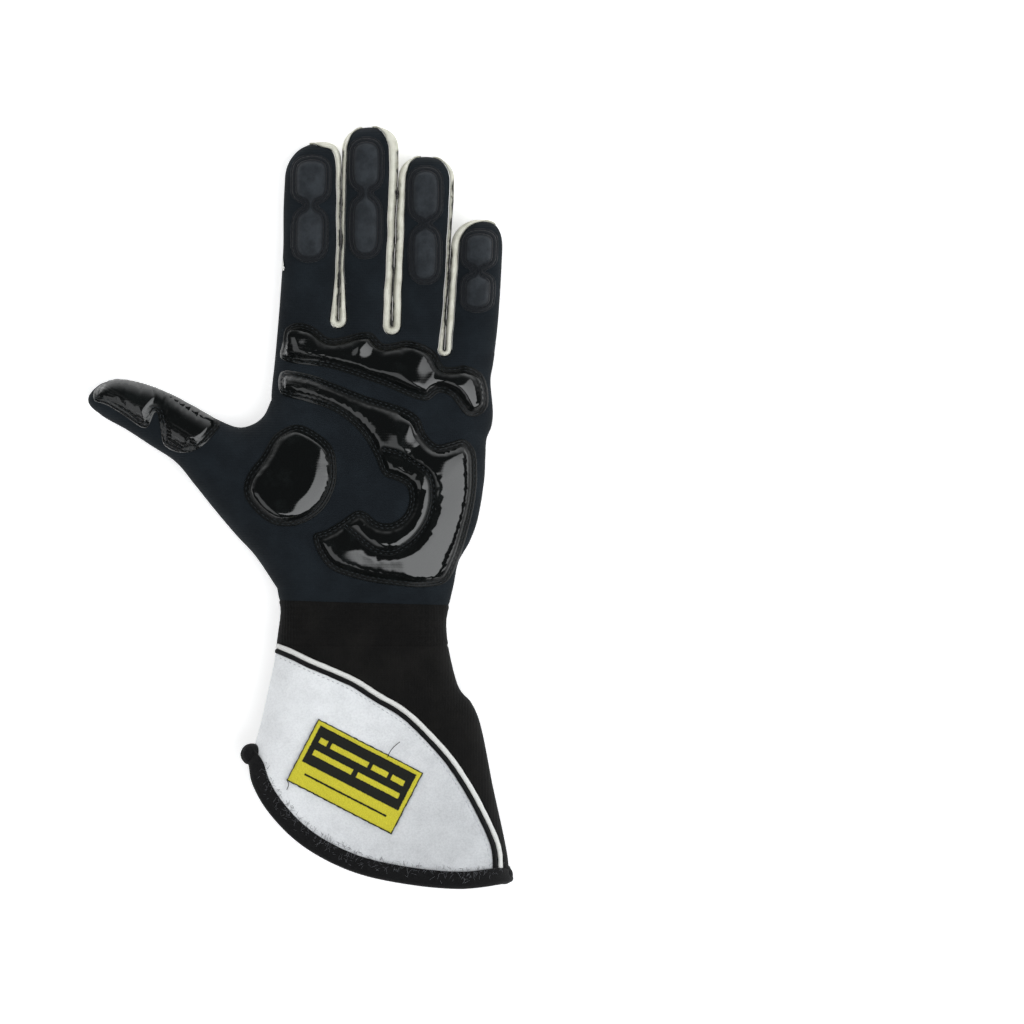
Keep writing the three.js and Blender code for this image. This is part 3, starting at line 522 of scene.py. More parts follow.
def turnOut(bm, outwards):  # merges doubles and points an open sheet's faces outwards
    closeUp(bm)
    total = sum(f.normal.dot(outwards(f.calc_center_median())) * f.calc_area() for f in bm.faces)
    if total < 0:
        bmesh.ops.reverse_faces(bm, faces=bm.faces)
    bm.normal_update()


def places(bm):
    return np.array([v.co for v in bm.verts]).reshape(-1, 3)


def moveTo(bm, points):
    for vert, point in zip(bm.verts, points):
        vert.co = point


def soften(bm, verts, rounds, inPlan=False):  # in height alone, or in plan as well
    for _ in range(rounds):
        bmesh.ops.smooth_vert(
            bm, verts=verts, factor=0.5, use_axis_x=inPlan, use_axis_y=inPlan, use_axis_z=True
        )


def pushOut(bm, amounts):  # moves each vertex along its normal
    bm.normal_update()
    for vert, amount in zip(bm.verts, amounts):
        vert.co += vert.normal * float(amount)


def setLayer(bm, name, values):
    layer = bm.verts.layers.float.new(name)
    for vert, value in zip(bm.verts, values):
        vert[layer] = float(value)


def borderDistance(bm, reach=4.0):  # how far each vertex lies from the sheet's free edge
    border = [v for v in bm.verts if v.is_boundary]
    tree = KDTree(len(border))
    for i, vert in enumerate(border):
        tree.insert(vert.co, i)
    tree.balance()
    return np.array([min(reach, tree.find(v.co)[2]) for v in bm.verts])


def trimTo(bm, inside):
    # Keeps the part of a plan grid where the field is positive. The near end of each crossing
    # edge moves onto the line, and a quad cut from corner to corner is split.
    at = places(bm)
    value = dict(zip(bm.verts, inside(at[:, 0], at[:, 1])))
    nearest = {}
    for edge in bm.edges:
        a, b = edge.verts
        if value[a] * value[b] < 0:
            t = value[a] / (value[a] - value[b])
            end, share = (a, t) if t < 0.5 else (b, 1 - t)
            if end not in nearest or share < nearest[end][0]:
                nearest[end] = (share, a.co.lerp(b.co, t))
    for vert, (_, spot) in nearest.items():
        vert.co = spot
        value[vert] = 0
    for face in list(bm.faces):
        signs = [value[v] for v in face.verts]
        if min(signs) < 0 < max(signs):
            zeros = [v for v in face.verts if value[v] == 0]
            if len(zeros) == 2:
                bmesh.utils.face_split(face, *zeros)
    outside = [f for f in bm.faces if min(value[v] for v in f.verts) < 0]
    bmesh.ops.delete(bm, geom=outside, context="FACES")
    bmesh.ops.delete(bm, geom=[v for v in bm.verts if not v.link_faces], context="VERTS")


upwards = Vector((0, 0, 1))
casting = {"from": 90, "seam": 12, "steepest": 2.2}


class Surface:
    # The top of a finished shell, read by casting down on it
    def __init__(self, bm):
        self.tree = BVHTree.FromBMesh(bm)

    def height(self, x, y):
        found = []
        for a, b in zip(np.ravel(x), np.ravel(y)):
            hit = self.tree.ray_cast(Vector((a, b, casting["from"])), -upwards)[0]
            hit = hit or self.tree.find_nearest(Vector((a, b, casting["seam"])))[0]
            found.append(hit.z)
        return np.array(found).reshape(np.shape(x))

    def read(self, x, y, reach=0.9):  # points on it, and its directions outwards
        z = self.height(x, y)
        return np.stack([x, y, z], axis=-1), upFrom(self.height, x, y, reach, casting["steepest"])


def upFrom(height, x, y, reach, steepest):  # directions outwards of a surface, given by its heights
    slopes = [
        (height(x + a, y + b) - height(x - a, y - b)) / (2 * reach) for a, b in ((reach, 0), (0, reach))
    ]
    dx, dy = np.clip(slopes, -steepest, steepest)
    return unit(np.stack([-dx, -dy, 1 + 0 * dx], axis=-1))


def finishPiece(name, bm, finish, replaces=(), wall=0, subdivide=0):
    bmesh.ops.scale(bm, vec=(mm, mm, mm), verts=bm.verts)
    for edge in bm.edges:  # a cut edge keeps the shading of its face
        edge.smooth = not edge.is_boundary
    mesh = bpy.data.meshes.new(name)
    bm.to_mesh(mesh)
    bm.free()
    mesh.shade_smooth()
    mesh.materials.append(finish)
    piece = bpy.data.objects.new(name, mesh)
    bpy.context.scene.collection.objects.link(piece)
    if wall:
        made = piece.modifiers.new("wall", "SOLIDIFY")
        made.thickness, made.offset = wall * mm, -1
        made.use_even_offset = False
    if subdivide:
        made = piece.modifiers.new("soft", "SUBSURF")
        made.levels = made.render_levels = subdivide
    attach(piece, "root")
    if replaces:
        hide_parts(*replaces)
    print("made", name, len(mesh.polygons), "faces")
    return piece


# Shader arithmetic
def maths(kind, order=1):  # a method of Wire that adds one Math node
    return lambda *terms: terms[0].finish.node("Math", {"operation": kind}, dict(enumerate(terms[::order])))


class Wire:
    def __init__(self, finish, socket):
        self.finish, self.socket = finish, socket

    __add__, __radd__ = maths("ADD"), maths("ADD", -1)
    __sub__, __rsub__ = maths("SUBTRACT"), maths("SUBTRACT", -1)
    __mul__, __rmul__ = maths("MULTIPLY"), maths("MULTIPLY", -1)
    __truediv__ = maths("DIVIDE")
    wave, absolute, least, most = maths("SINE"), maths("ABSOLUTE"), maths("MINIMUM"), maths("MAXIMUM")

    def ribs(self, pitch):  # waves along a length, their pitch in millimetres
        return (self * (2 * math.pi / (pitch * mm))).wave()

    def step(self, low, high, start=0, end=1):  # a soft step between two values
        settings = {"interpolation_type": "SMOOTHSTEP"}
        return self.finish.node("MapRange", settings, {0: self, 1: low, 2: high, 3: start, 4: end})


def colour(hexCode):  # a display colour as linear light
    parts = [int(hexCode[i : i + 2], 16) / 255 for i in (0, 2, 4)]
    return [p / 12.92 if p <= 0.04045 else ((p + 0.055) / 1.055) ** 2.4 for p in parts] + [1]


class Finish:
    # One material or world, built node by node
    def __init__(self, name, kind=bpy.data.materials, place="Object"):
        self.material = kind.new(name)
        self.material.use_nodes = True
        self.nodes, self.links = self.material.node_tree.nodes, self.material.node_tree.links
        self.nodes.clear()
        self.place = self.node("TexCoord", {}, {}, place)

    def node(self, kind, settings, inputs, output=0):
        made = self.nodes.new("ShaderNode" + kind)
        for name, value in settings.items():
            setattr(made, name, value)
        for name, value in inputs.items():
            if isinstance(value, Wire):
                self.links.new(value.socket, made.inputs[name])
            else:
                made.inputs[name].default_value = value
        return Wire(self, made.outputs[output])

    def noise(self, size, detail=2, roughness=0.5, stretch=(1, 1, 1)):  # size in millimetres
        scaled = self.node("Mapping", {}, {"Vector": self.place, "Scale": [s / mm / size for s in stretch]})
        inputs = {"Vector": scaled, "Scale": 1, "Detail": detail, "Roughness": roughness}
        return self.node("TexNoise", {}, inputs)

    def axes(self, source=None):
        split = self.nodes.new("ShaderNodeSeparateXYZ")
        self.links.new((source or self.place).socket, split.inputs[0])
        return [Wire(self, out) for out in split.outputs]

    def attribute(self, name):
        return self.node("Attribute", {"attribute_name": name}, {}, "Fac")

    def blend(self, factor, first, second):  # of two colours
        return self.node("Mix", {"data_type": "RGBA"}, {0: factor, 6: first, 7: second}, 2)

    def bump(self, height, depth, normal=None):  # depth in millimetres
        inputs = {"Height": height, "Distance": depth * mm, "Strength": 1.0}
        if normal is not None:
            inputs["Normal"] = normal
        return self.node("Bump", {}, inputs)

    def surface(self, kind="BsdfPrincipled", out="OutputMaterial", **sockets):
        shader = self.node(kind, {}, {name.replace("_", " "): value for name, value in sockets.items()})
        self.links.new(shader.socket, self.nodes.new("ShaderNode" + out).inputs["Surface"])
        return self.material

    def cloth(self, base, normal, roughness=0.95, specular=0.15, sheen=0.05):
        return self.surface(
            Base_Color=base, Normal=normal, Roughness=roughness, Specular_IOR_Level=specular,
            Sheen_Weight=sheen,
        )


def pressed(edge, rows, wide):  # how close the stitched rows are, which lie this far from the edge
    return sum((edge - row).absolute().step(wide, 0.0) for row in rows)


knitLooks = {
    "palm_knit": {"dark": "15191d", "light": "20262b", "rib": 1.15, "depth": 0.06, "upright": False},
    "black_knit": {"dark": "0f0f0f", "light": "1d1c1b", "rib": 1.3, "depth": 0.09, "upright": True},
}
loopShare = 0.8  # of a loop's length to the ribs' pitch


def knitFinish(name, looks):
    # Ribs across the hand, or up it on the cuff, each made of small loops
    f = Finish(name)
    x, y, _ = f.axes()
    if looks["upright"]:
        x, y = y, x
    bend = f.noise(7, 2) * (0.9 * mm)
    rib, loop = (y + bend).ribs(looks["rib"]), (x + bend).ribs(loopShare * looks["rib"])
    fuzz = f.noise(0.5, 3, 0.7)
    height = rib * 0.5 + rib * loop * 0.35 + fuzz * 0.8
    mottle = f.noise(16, 4, 0.6).step(0.35, 0.7) * 0.5 + fuzz * 0.4 + rib * loop * 0.12
    base = f.blend(mottle, colour(looks["dark"]), colour(looks["light"]))
    return f.cloth(base, f.bump(height, looks["depth"]), specular=0.1)


# the dirt colour also paints shade beside the slit. The painted shade and the smudges begin and end at these
# shares of the darkened width; the slit's dark line, painted shade of the gap mixed with dirt, lies within
# the last
creamLooks = {
    "cloth": "e2e1d4", "shade": "c9c8b8", "dirtAndShade": "6f6e62", "slit": "1b1b19",
    "shadow": (0.85, 0.2), "smudge": (0.9, 0.3), "deep": (0.26, 0.0), "depth": 0.22,
}


def creamFinish(looks):
    # Brushed cream knit, with dirt and painted shade worked into the slit
    f = Finish("cream_knit")
    edge = f.attribute("edge")
    fibre = f.noise(0.7, 4, 0.7)
    blotch = f.noise(5, 3, 0.6)
    smudge = f.noise(3.2, 3, 0.65).step(0.56, 0.68)
    fresh = f.blend(blotch.step(0.35, 0.75), colour(looks["cloth"]), colour(looks["shade"]))
    # painted shade: a soft band beside the slit, mixed with the smudges and drawn in their dirt colour
    shadow = edge.step(*looks["shadow"]) * 0.6
    worn = f.blend((smudge * edge.step(*looks["smudge"])).most(shadow), fresh, colour(looks["dirtAndShade"]))
    # painted shade of the narrow gap between the fingers, mixed with dirt: a ragged dark line along the slit
    raggedEdge = (f.noise(2.6, 3, 0.7) - 0.5) * 0.5
    slitLineWidth = f.noise(6, 2, 0.5).step(0.38, 0.62)  # thick and thin along the slit
    deep = f.blend((edge + raggedEdge - slitLineWidth * 0.25).step(*looks["deep"]), worn, colour(looks["slit"]))
    return f.cloth(deep, f.bump(fibre + blotch * 0.6, looks["depth"]), sheen=0.15)


greyLooks = {"light": "f5f7f9", "dark": "b0b2b5", "wale": (0.75, 0.65), "used": (95, 235), "depth": 0.12}


def greyFinish(looks):
    # Pale grey melange jersey
    f = Finish("grey_knit")
    x, y, _ = f.axes()
    wale = x.ribs(looks["wale"][0]) * y.ribs(looks["wale"][1])
    fleck = f.noise(0.9, 3, 0.7)
    cloud = f.noise(9, 4, 0.6)
    # painted shade: the grey darkens from the top left towards the mouth
    used = ((x - y) / mm).step(*looks["used"])  # darker towards the mouth
    tone = fleck.step(0.35, 0.7) * 0.18 + cloud.step(0.35, 0.7) * 0.14 + used * 0.5
    base = f.blend(tone, colour(looks["light"]), colour(looks["dark"]))
    return f.cloth(base, f.bump(wale * 0.4 + fleck * 0.9, looks["depth"]), sheen=0.1)


glossLooks = {
    "body": "0b0d0d", "worn": "141717", "rough": 0.07, "rows": (1.1, 2.4), "rowWide": 0.6, "rowDepth": 0.1,
    "rib": 1.2, "bend": 2.4, "folds": 6, "grain": 0.02, "rim": (4.4, 3.3), "rimRough": 0.25,
    # fine creases, running at an angle over a stretch of x and of the distance aside
    "creases": [
        {"turn": -0.2, "pitch": 1.8, "x": (17, 6), "aside": ((46, 49), (74, 71))},
        {"turn": -0.49, "pitch": 1.6, "x": (-28, -36), "aside": ((-20, -18), (9.5, 6))},
    ],
}


def glossFinish(looks):
    # Glossy coating over padding, with two stitched rows pressed into its flange
    f = Finish("gloss_padding")
    edge = f.attribute("edge")
    x, y, _ = f.axes()
    rib = y.ribs(looks["rib"])  # the knit shows faintly through
    bend = (f.noise(6, 2) - 0.5) * (looks["bend"] * mm)
    folds = creased = 0
    for crease in looks["creases"]:
        aside = y * math.cos(crease["turn"]) - x * math.sin(crease["turn"])
        area = (x / mm).step(*crease["x"])
        for low, high in crease["aside"]:
            area = area * (aside / mm).step(low, high)
        folds = folds + (aside + bend).ribs(crease["pitch"]) * area
        creased = creased + area
    scuff = f.noise(14, 5, 0.7).step(0.5, 0.72)
    rim = edge.step(*looks["rim"]) * (1 - creased * 0.8)
    normal = f.bump(f.noise(0.9, 2, 0.5) + rib * 0.25 + folds * looks["folds"], looks["grain"])
    normal = f.bump(1 - pressed(edge, looks["rows"], looks["rowWide"]), looks["rowDepth"], normal)
    return f.surface(
        Base_Color=f.blend(scuff, colour(looks["body"]), colour(looks["worn"])),
        Roughness=scuff * 0.06 + rim * looks["rimRough"] + looks["rough"],
        Coat_Weight=1 - rim,
        Coat_Roughness=0.05,
        Coat_IOR=1.6,
        Specular_IOR_Level=0.15,
        Normal=normal,
    )


suedeLooks = {
    "nap": "171a1e", "rubbed": "34393e", "rows": (0.7, 2.3), "rowWide": 0.45, "proud": (2.7, 3.8),
    "depth": 0.3,
}


def suedeFinish(looks):
    # Matt suede with a short nap, rubbed paler where it stands proud
    f = Finish("suede")
    edge = f.attribute("edge")
    nap = f.noise(0.6, 4, 0.75)
    patchy = f.noise(6, 4, 0.6)
    tone = (patchy.step(0.3, 0.7) * 0.5 + nap * 0.6) * (edge + (nap - 0.5)).step(*looks["proud"])
    height = nap * 0.5 + patchy * 0.6 - pressed(edge, looks["rows"], looks["rowWide"]) * 1.2
    base = f.blend(tone, colour(looks["nap"]), colour(looks["rubbed"]))
    return f.cloth(base, f.bump(height, looks["depth"]), 0.85 - tone * 0.15, specular=0.25, sheen=0.12)


plainCloths = {
    "white_piping": {"first": "e6e6e4", "second": "d8d8d4", "grain": 0.6, "depth": 0.06},
    "black_tape": {"first": "0d0d0e", "second": "1e1e1f", "grain": 0.5, "depth": 0.25, "sheen": 0.06},
    "black_thread": {"first": "0c0d0e", "second": "1b1d1f", "grain": 0.3, "depth": 0.05},
    "pad_thread": {"first": "1e2225", "second": "3c4145", "grain": 0.3, "depth": 0.05},
    "grey_thread": {"first": "14171b", "second": "2b3036", "grain": 0.3, "depth": 0.05},
    "pale_thread": {"first": "a9acb3", "second": "c6c9cf", "grain": 0.3, "depth": 0.05},
    "white_thread": {"first": "f4f4f0", "second": "dededa", "grain": 0.3, "depth": 0.05},
    "grey_fuzz": {"first": "4a4b4e", "second": "808287", "grain": 0.6, "depth": 0.05},
}


def clothFinish(name, first, second, grain, depth, sheen=0.05):
    # Plain fibrous cloth, thread or tape
    f = Finish(name)
    fibre = f.noise(grain, 4, 0.75)
    base = f.blend(fibre.step(0.35, 0.7), colour(first), colour(second))
    return f.cloth(base, f.bump(fibre, depth), roughness=0.9, sheen=sheen)


badgeLooks = {
    "wide": 54, "tall": 31.6, "x": 25.9, "y": -123.4, "turn": -27.2, "thick": 1.1, "steps": (75, 45),
    "rounded": 0.55, "rounding": (0, 0.8), "frayed": 0.1, "wall": 0.9,
    # the border stands proud, from the rim inwards and to either side of the field's edge
    "proud": 0.3, "proudIn": (0, 0.5), "proudOut": (-0.2, 0.4),
    "thread": 0.55, "slant": 0.35, "depth": 0.22,
    "yellow": "f0e748", "shade": "c8bd30", "field": "1a1c16", "edge": 2.3, "band": 11.0,
    # plain bars: left end, right end and height above the badge's lower edge
    "bars": [(5, 9, 23.2), (11, 30, 23.2), (32, 40, 23.2), (42, 48.5, 23.2), (5, 25, 17), (27.5, 49, 17)],
    "barTall": 2.6,
    "dark": [(6, 48, 6.3)],
    "darkTall": 0.9,
}


def badgeFinish(looks):
    # Embroidered badge: satin border and band in yellow, a dark field with plain bars
    f = Finish("badge")
    u, v, _ = f.axes(f.node("UVMap", {"uv_map": "UVMap"}, {}))
    wobble = (f.noise(1.1, 2) - 0.5) * 0.5
    u, v = u + wobble, v + wobble

    def below(value, limit, soft=0.15):
        return value.step(limit + soft, limit - soft)

    def bar(left, right, middle, tall):
        across = below((u - (left + right) / 2).absolute(), (right - left) / 2)
        return across * below((v - middle).absolute(), tall / 2)

    rim = u.least(looks["wide"] - u).least(v).least(looks["tall"] - v)
    yellow = below(rim, looks["edge"]).most(below(v, looks["band"]))
    for left, right, middle in looks["bars"]:
        yellow = yellow.most(bar(left, right, middle, looks["barTall"]))
    for left, right, middle in looks["dark"]:
        yellow = yellow.least(1 - bar(left, right, middle, looks["darkTall"]))
    yellow = yellow * rim.step(0.35, 0.75)
    thread = ((u + v * looks["slant"]) * mm).ribs(looks["thread"])
    fuzz = f.noise(0.4, 3, 0.7)
    tone = thread * 0.25 + fuzz * 0.9
    gold = f.blend(tone.step(0.2, 0.8), colour(looks["shade"]), colour(looks["yellow"]))
    height = thread * 0.35 + fuzz * 0.5 + yellow * 1.2
    base = f.blend(yellow, colour(looks["field"]), gold)
    return f.cloth(base, f.bump(height, looks["depth"]), roughness=0.75, specular=0.3)


palmKnit = knitFinish("palm_knit", knitLooks["palm_knit"])
blackKnit = knitFinish("black_knit", knitLooks["black_knit"])
creamKnit = creamFinish(creamLooks)
greyKnit = greyFinish(greyLooks)
glossPadding = glossFinish(glossLooks)
suede = suedeFinish(suedeLooks)
plain = {name: clothFinish(name, **looks) for name, looks in plainCloths.items()}
badgeCloth = badgeFinish(badgeLooks)
print("materials made")


# Palm and back of the hand, with the faces of the fingers and the thumb
def handPanel(side):
    bm = bmesh.new()
    palmX, palmY = palmPlan()
    plans = [(palmX, palmY), thumbPlan(palmX, palmY)] + [fingerPlan(k, palmX, palmY) for k in range(4)]
    for x, y in plans:
        addGrid(bm, skin(x, y, side))
    turnOut(bm, lambda centre: upwards if side == "palm" else -upwards)
    soften(bm, [v for v in bm.verts if not v.is_boundary], shell["softenings"])
    return bm


def seamDip(bm, wide=1.5, depth=0.3):  # cloth drawn down along its sewn edge
    pushOut(bm, -depth * (1 - np.clip(borderDistance(bm) / wide, 0, 1)) ** 2)


palmMesh = handPanel("palm")
seamDip(palmMesh)
palmTop = Surface(palmMesh)
finishPiece("palm_cloth", palmMesh, palmKnit, ["palm_panel"], shell["wall"])
backMesh = handPanel("back")
seamDip(backMesh)
finishPiece("back_cloth", backMesh, palmKnit, ["back_panel"], shell["wall"])
print("hand made")


# Cream strips that line the slits: down one finger, round the U and up the next
stripShape = {
    "across": 12, "around": 34, "wrap": 0.97, "crowd": 1.4, "flat": 5, "puff": 0.35,
    "seam": (1.1, 0.3), "middle": 9, "cleanUnshaded": (-2, 4), "dirtAndShadeWidth": 2.5, "wall": 0.5,
}


def fourchette(k):
    crotch = crotches[k]

    def sideOf(number, side):
        finger = fingers[number]
        y, settled, start = straightRows(number)
        up = y + (crotch["y"] - start) * (1 - settled)
        left, right = fingerSides(finger, up)
        wide = stripWidth(finger, side, y)
        edge, hand = (right, -1) if side == "right" else (left, 1)
        last = finger["wrap" + side.title()][1] * stripShape["wrap"]
        around = np.linspace(0, last, stripShape["around"])[1:]
        angle = around if side == "right" else np.pi - around
        seam = np.vstack([np.stack([edge + hand * wide, up], axis=1), tipSeam(finger, angle)])
        return seam, np.vstack([np.stack([edge, up], axis=1), tipEdge(finger, angle)])

    seamA, slitA = sideOf(k, "right")
    seamB, slitB = sideOf(k + 1, "left")
    seam = np.vstack([seamA[:0:-1], turn(crotch, crotch["radius"], turnSteps), seamB[1:]])
    slit = np.vstack([slitA[:0:-1], turn(crotch, shell["slit"] / 2, turnSteps), slitB[1:]])
    share = np.linspace(1, 0, stripShape["across"] + 1) ** stripShape["crowd"]
    run = np.concatenate([[0], np.cumsum(np.linalg.norm(np.diff((seam + slit) / 2, axis=0), axis=1))])
    bm = bmesh.new()
    for side in ("palm", "back"):
        plan = mix(slit[:, None], seam[:, None], share[None, :, None])
        points = skin(plan[..., 0], plan[..., 1], side)
        edgeZ, slitZ = points[:, :1, 2], points[:, -1:, 2]
        rise = np.sqrt(1 - (1 - share) ** stripShape["flat"])
        wide = np.linalg.norm(seam - slit, axis=1)[:, None]
        points[..., 2] = mix(slitZ, edgeZ, rise)
        if side == "palm":
            lump = 1 + ripple("puff", run[:, None], 0 * share, k)
            points[..., 2] += stripShape["puff"] * wide * np.sin(np.pi * share) * lump * 0.5
        addGrid(bm, points)
    turnOut(bm, lambda centre: upwards if centre.z > stripShape["middle"] else -upwards)
    at = places(bm)
    # near the fingertips the strip gets neither dirt nor painted shade
    low, high = stripShape["cleanUnshaded"]
    tips = [smooth(at[:, 1], bendY(fingers[i]) + low, bendY(fingers[i]) + high) for i in (k, k + 1)]
    onRight = at[:, 0] > along(fingerLines, crotch["line"], at[:, 1])
    cleanUnshaded = np.where(onRight, tips[1], tips[0])
    setLayer(bm, "edge", Line(slit).distance(at[:, 0], at[:, 1]) / stripShape["dirtAndShadeWidth"] + cleanUnshaded)
    seamDip(bm, *stripShape["seam"])
    name = f"fourchette_{fingers[k]['name']}_{fingers[k + 1]['name']}"
    finishPiece(name + "_cloth", bm, creamKnit, [name], stripShape["wall"])


for k in range(3):
    fourchette(k)
print("fourchettes made")


# Gathered wrist, one closed ring
wristShape = {
    "rows": 46, "columns": 150, "gathers": 7, "depth": 0.3, "pleat": 2.0, "pleatDepth": 0.13,
    "middle": 12, "over": (3, 8), "seam": (1.2, 0.5), "crowd": 0.9, "slant": 0.7,
    # where the gathers set in, from the hand, the cuff and the side, and their share at the side
    "upper": (0.02, 0.12), "lower": (0.0, 0.1), "side": (0.5, 6), "least": 0.25,
    # inward draw and depth of pleat: each one's mean, and how far the gathers' wave changes it
    "draw": (0.1, 0.5), "deepen": (0.55, 0.45),
}


def wristBand(shape):
    bm = bmesh.new()
    t = np.linspace(0, 1, shape["rows"] + 1)[:, None]
    u = spread(shape["columns"], shape["crowd"])[None, :]
    leftY, rightY = mix(shell["wrist"][0], shell["cuff"][0], t), mix(shell["wrist"][1], shell["cuff"][1], t)
    x = mix(along(cuffLeft, "x", leftY), along(rightSide, "x", rightY), u)
    y = mix(leftY, rightY, u)
    for side in ("palm", "back"):
        addGrid(bm, skin(x, y, side))
    turnOut(bm, lambda centre: upwards * (centre.z - shape["middle"]))
    at = places(bm)
    t = (shell["wrist"][0] - at[:, 1]) / (shell["wrist"][0] - shell["cuff"][0])
    gather = np.cos(2 * np.pi * shape["gathers"] * (t + ripple("gather", at[:, 0], at[:, 1])))
    girth = at[:, 0] + shape["slant"] * at[:, 2]
    pleat = np.sin(2 * np.pi * girth / shape["pleat"] + ripple("pleat", at[:, 0], 3 * at[:, 1]))
    inner = smooth(t, *shape["upper"]) * smooth(1 - t, *shape["lower"])
    inwards = smooth(outline.distance(at[:, 0], at[:, 1]), *shape["side"])
    above = smooth(at[:, 2], *shape["over"]) * mix(shape["least"], 1, inwards)
    drawn, deepened = (a + b * gather for a, b in (shape["draw"], shape["deepen"]))
    swell = -shape["depth"] * drawn + shape["pleatDepth"] * pleat * deepened
    pushOut(bm, inner * above * swell)
    seamDip(bm, *shape["seam"])
    finishPiece("wrist_cloth", bm, blackKnit, ["wrist_band"], shell["wall"])


wristBand(wristShape)
print("wrist made")


# Flared cuff, as a patch between its two sides, the wrist and the mouth
mouthCurve = evenly(roundThrough(mouthLine, 30, closed=False), 0.4)


def mouthAt(u):
    run = np.linspace(0, 1, len(mouthCurve))
    return np.stack([np.interp(u, run, mouthCurve[:, i]) for i in (0, 1)], axis=-1)


def cuffPlan(u, t):
    u, t = np.broadcast_arrays(u, t)
    leftY, rightY = mix(shell["cuff"][0], shell["mouth"][0], t), mix(shell["cuff"][1], shell["mouth"][1], t)
    left = np.stack([along(cuffLeft, "x", leftY), leftY], axis=-1)
    right = np.stack([along(rightSide, "x", rightY), rightY], axis=-1)
    u, t = u[..., None], t[..., None]
    corner = [
        np.array([along(rows, "x", y), y]) for rows, y in zip((cuffLeft, rightSide), shell["cuff"])
    ]
    top = mix(corner[0], corner[1], u)
    mouth = mouthAt(u[..., 0])
    ends = mix(top, mix(mouthAt(np.array(0.0)), mouthAt(np.array(1.0)), u), t)
    return mix(left, right, u) + mix(top, mouth, t) - ends


pipingLine = [
    (-13, -62.4), (-1, -67.4), (10.3, -72.5), (24.3, -78.7), (38.4, -87.1), (52.5, -96.5),
    (61.9, -105.8), (71.3, -117.1), (80.7, -132.2), (88.6, -148.1), (91.7, -158.4), (91.6, -178),
]
pipingShape = {
    "white": 1.2, "black": 1.05, "apart": 2.35, "sides": 12, "proud": 0.3, "flat": 0.75,
    "reach": 0.6, "steepest": 2.5, "short": 2.5, "left": 0.5, "under": (0.7, 0.5),
}
pipingPath = evenly(roundThrough(pipingLine, 30, closed=False), 0.5)
piping = Line(pipingPath)


cuffShape = {"columns": 96, "crowd": 0.85, "rows": 84, "calm": (2, 12), "seam": (1.2, 0.4)}
crease = {"x": 18, "y": -89, "turn": -0.27, "long": 9, "wide": 1.5, "high": 0.8}


def cuffSkin(x, y, side):
    points = skin(x, y, side)
    if side == "palm":
        calm = smooth(outline.distance(x, y), *cuffShape["calm"])
        points[..., 2] += calm * (ripple("cuff", x, y) + ripple("cuffFine", x, y))
        a, b = x - crease["x"], y - crease["y"]
        sine, cosine = math.sin(crease["turn"]), math.cos(crease["turn"])
        run, aside = a * cosine + b * sine, b * cosine - a * sine
        ridge = np.exp(-((run / crease["long"]) ** 2) - (aside / crease["wide"]) ** 2)
        points[..., 2] += crease["high"] * ridge
    return points


def cuffPanel(name, node, side, finish, inside=None):
    bm = bmesh.new()
    u = spread(cuffShape["columns"], cuffShape["crowd"])[None, :]
    plan = cuffPlan(u, np.linspace(0, 1, cuffShape["rows"] + 1)[:, None])
    addGrid(bm, np.concatenate([plan, 0 * plan[..., :1]], axis=-1))
    if inside:
        trimTo(bm, inside)
    at = places(bm)
    moveTo(bm, cuffSkin(at[:, 0], at[:, 1], side))
    turnOut(bm, lambda centre: upwards if side == "palm" else -upwards)
    seamDip(bm, *cuffShape["seam"])
    top = Surface(bm)
    finishPiece(name, bm, finish, [node], shell["wall"])
    return top


underWhite, underBlack = pipingShape["under"]
cuffPanel(
    "cuff_black_cloth", "cuff_black_panel", "palm", blackKnit,
    lambda x, y: piping.inside(x, y) - underWhite,
)
greyTop = cuffPanel(
    "cuff_grey_cloth", "cuff_grey_panel", "palm", greyKnit,
    lambda x, y: -piping.inside(x, y) - pipingShape["apart"] - underBlack,
)
cuffPanel("cuff_back_cloth", "cuff_back_panel", "back", blackKnit)
print("cuff made")


def sweep(bm, path, normals, radius, sides, flatten=1.0):  # a closed round cord along a path
    run = unit(np.gradient(path, axis=0))
    across = unit(np.cross(run, normals))
    level = flatten * np.cross(across, run)
    angle = np.linspace(0, 2 * np.pi, sides + 1)[None, :, None]
    radius = np.broadcast_to(radius, len(path))[:, None, None]
    points = path[:, None] + radius * (across[:, None] * np.cos(angle) + level[:, None] * np.sin(angle))
    first, last = points[:1] * 0 + path[0], points[:1] * 0 + path[-1]
    addGrid(bm, np.concatenate([first, points, last]))


def clipToGlove(path, margin):  # the stretch of a plan path that lies on the cuff
    mouth = Line(mouthCurve)
    x, y = path[:, 0], path[:, 1]
    keep = (x > along(cuffLeft, "x", y) + pipingShape["left"]) & (mouth.inside(x, y) > margin)
    return path[keep]


def cordPiece(name, node, aside, radius, slot):
    wobble = ripple("piping", pipingPath[:, 0], pipingPath[:, 1])
    path = pipingPath - leftOf(pipingPath) * (aside + wobble)[:, None]
    x, y = clipToGlove(path, pipingShape["short"]).T
    normal = upFrom(
        lambda a, b: cuffSkin(a, b, "palm")[..., 2], x, y, pipingShape["reach"], pipingShape["steepest"]
    )
    points = cuffSkin(x, y, "palm") + normal * pipingShape["proud"]
    bm = bmesh.new()
    sweep(bm, points, normal, radius * (1 + ripple("cord", x, y)), pipingShape["sides"], pipingShape["flat"])
    closeUp(bm)
    finishPiece(name, bm, plain[slot], [node])


cordPiece("piping_white_cord", "piping_white", 0, pipingShape["white"], "white_piping")
cordPiece("piping_black_cord", "piping_black", pipingShape["apart"], pipingShape["black"], "black_tape")
print("piping made")


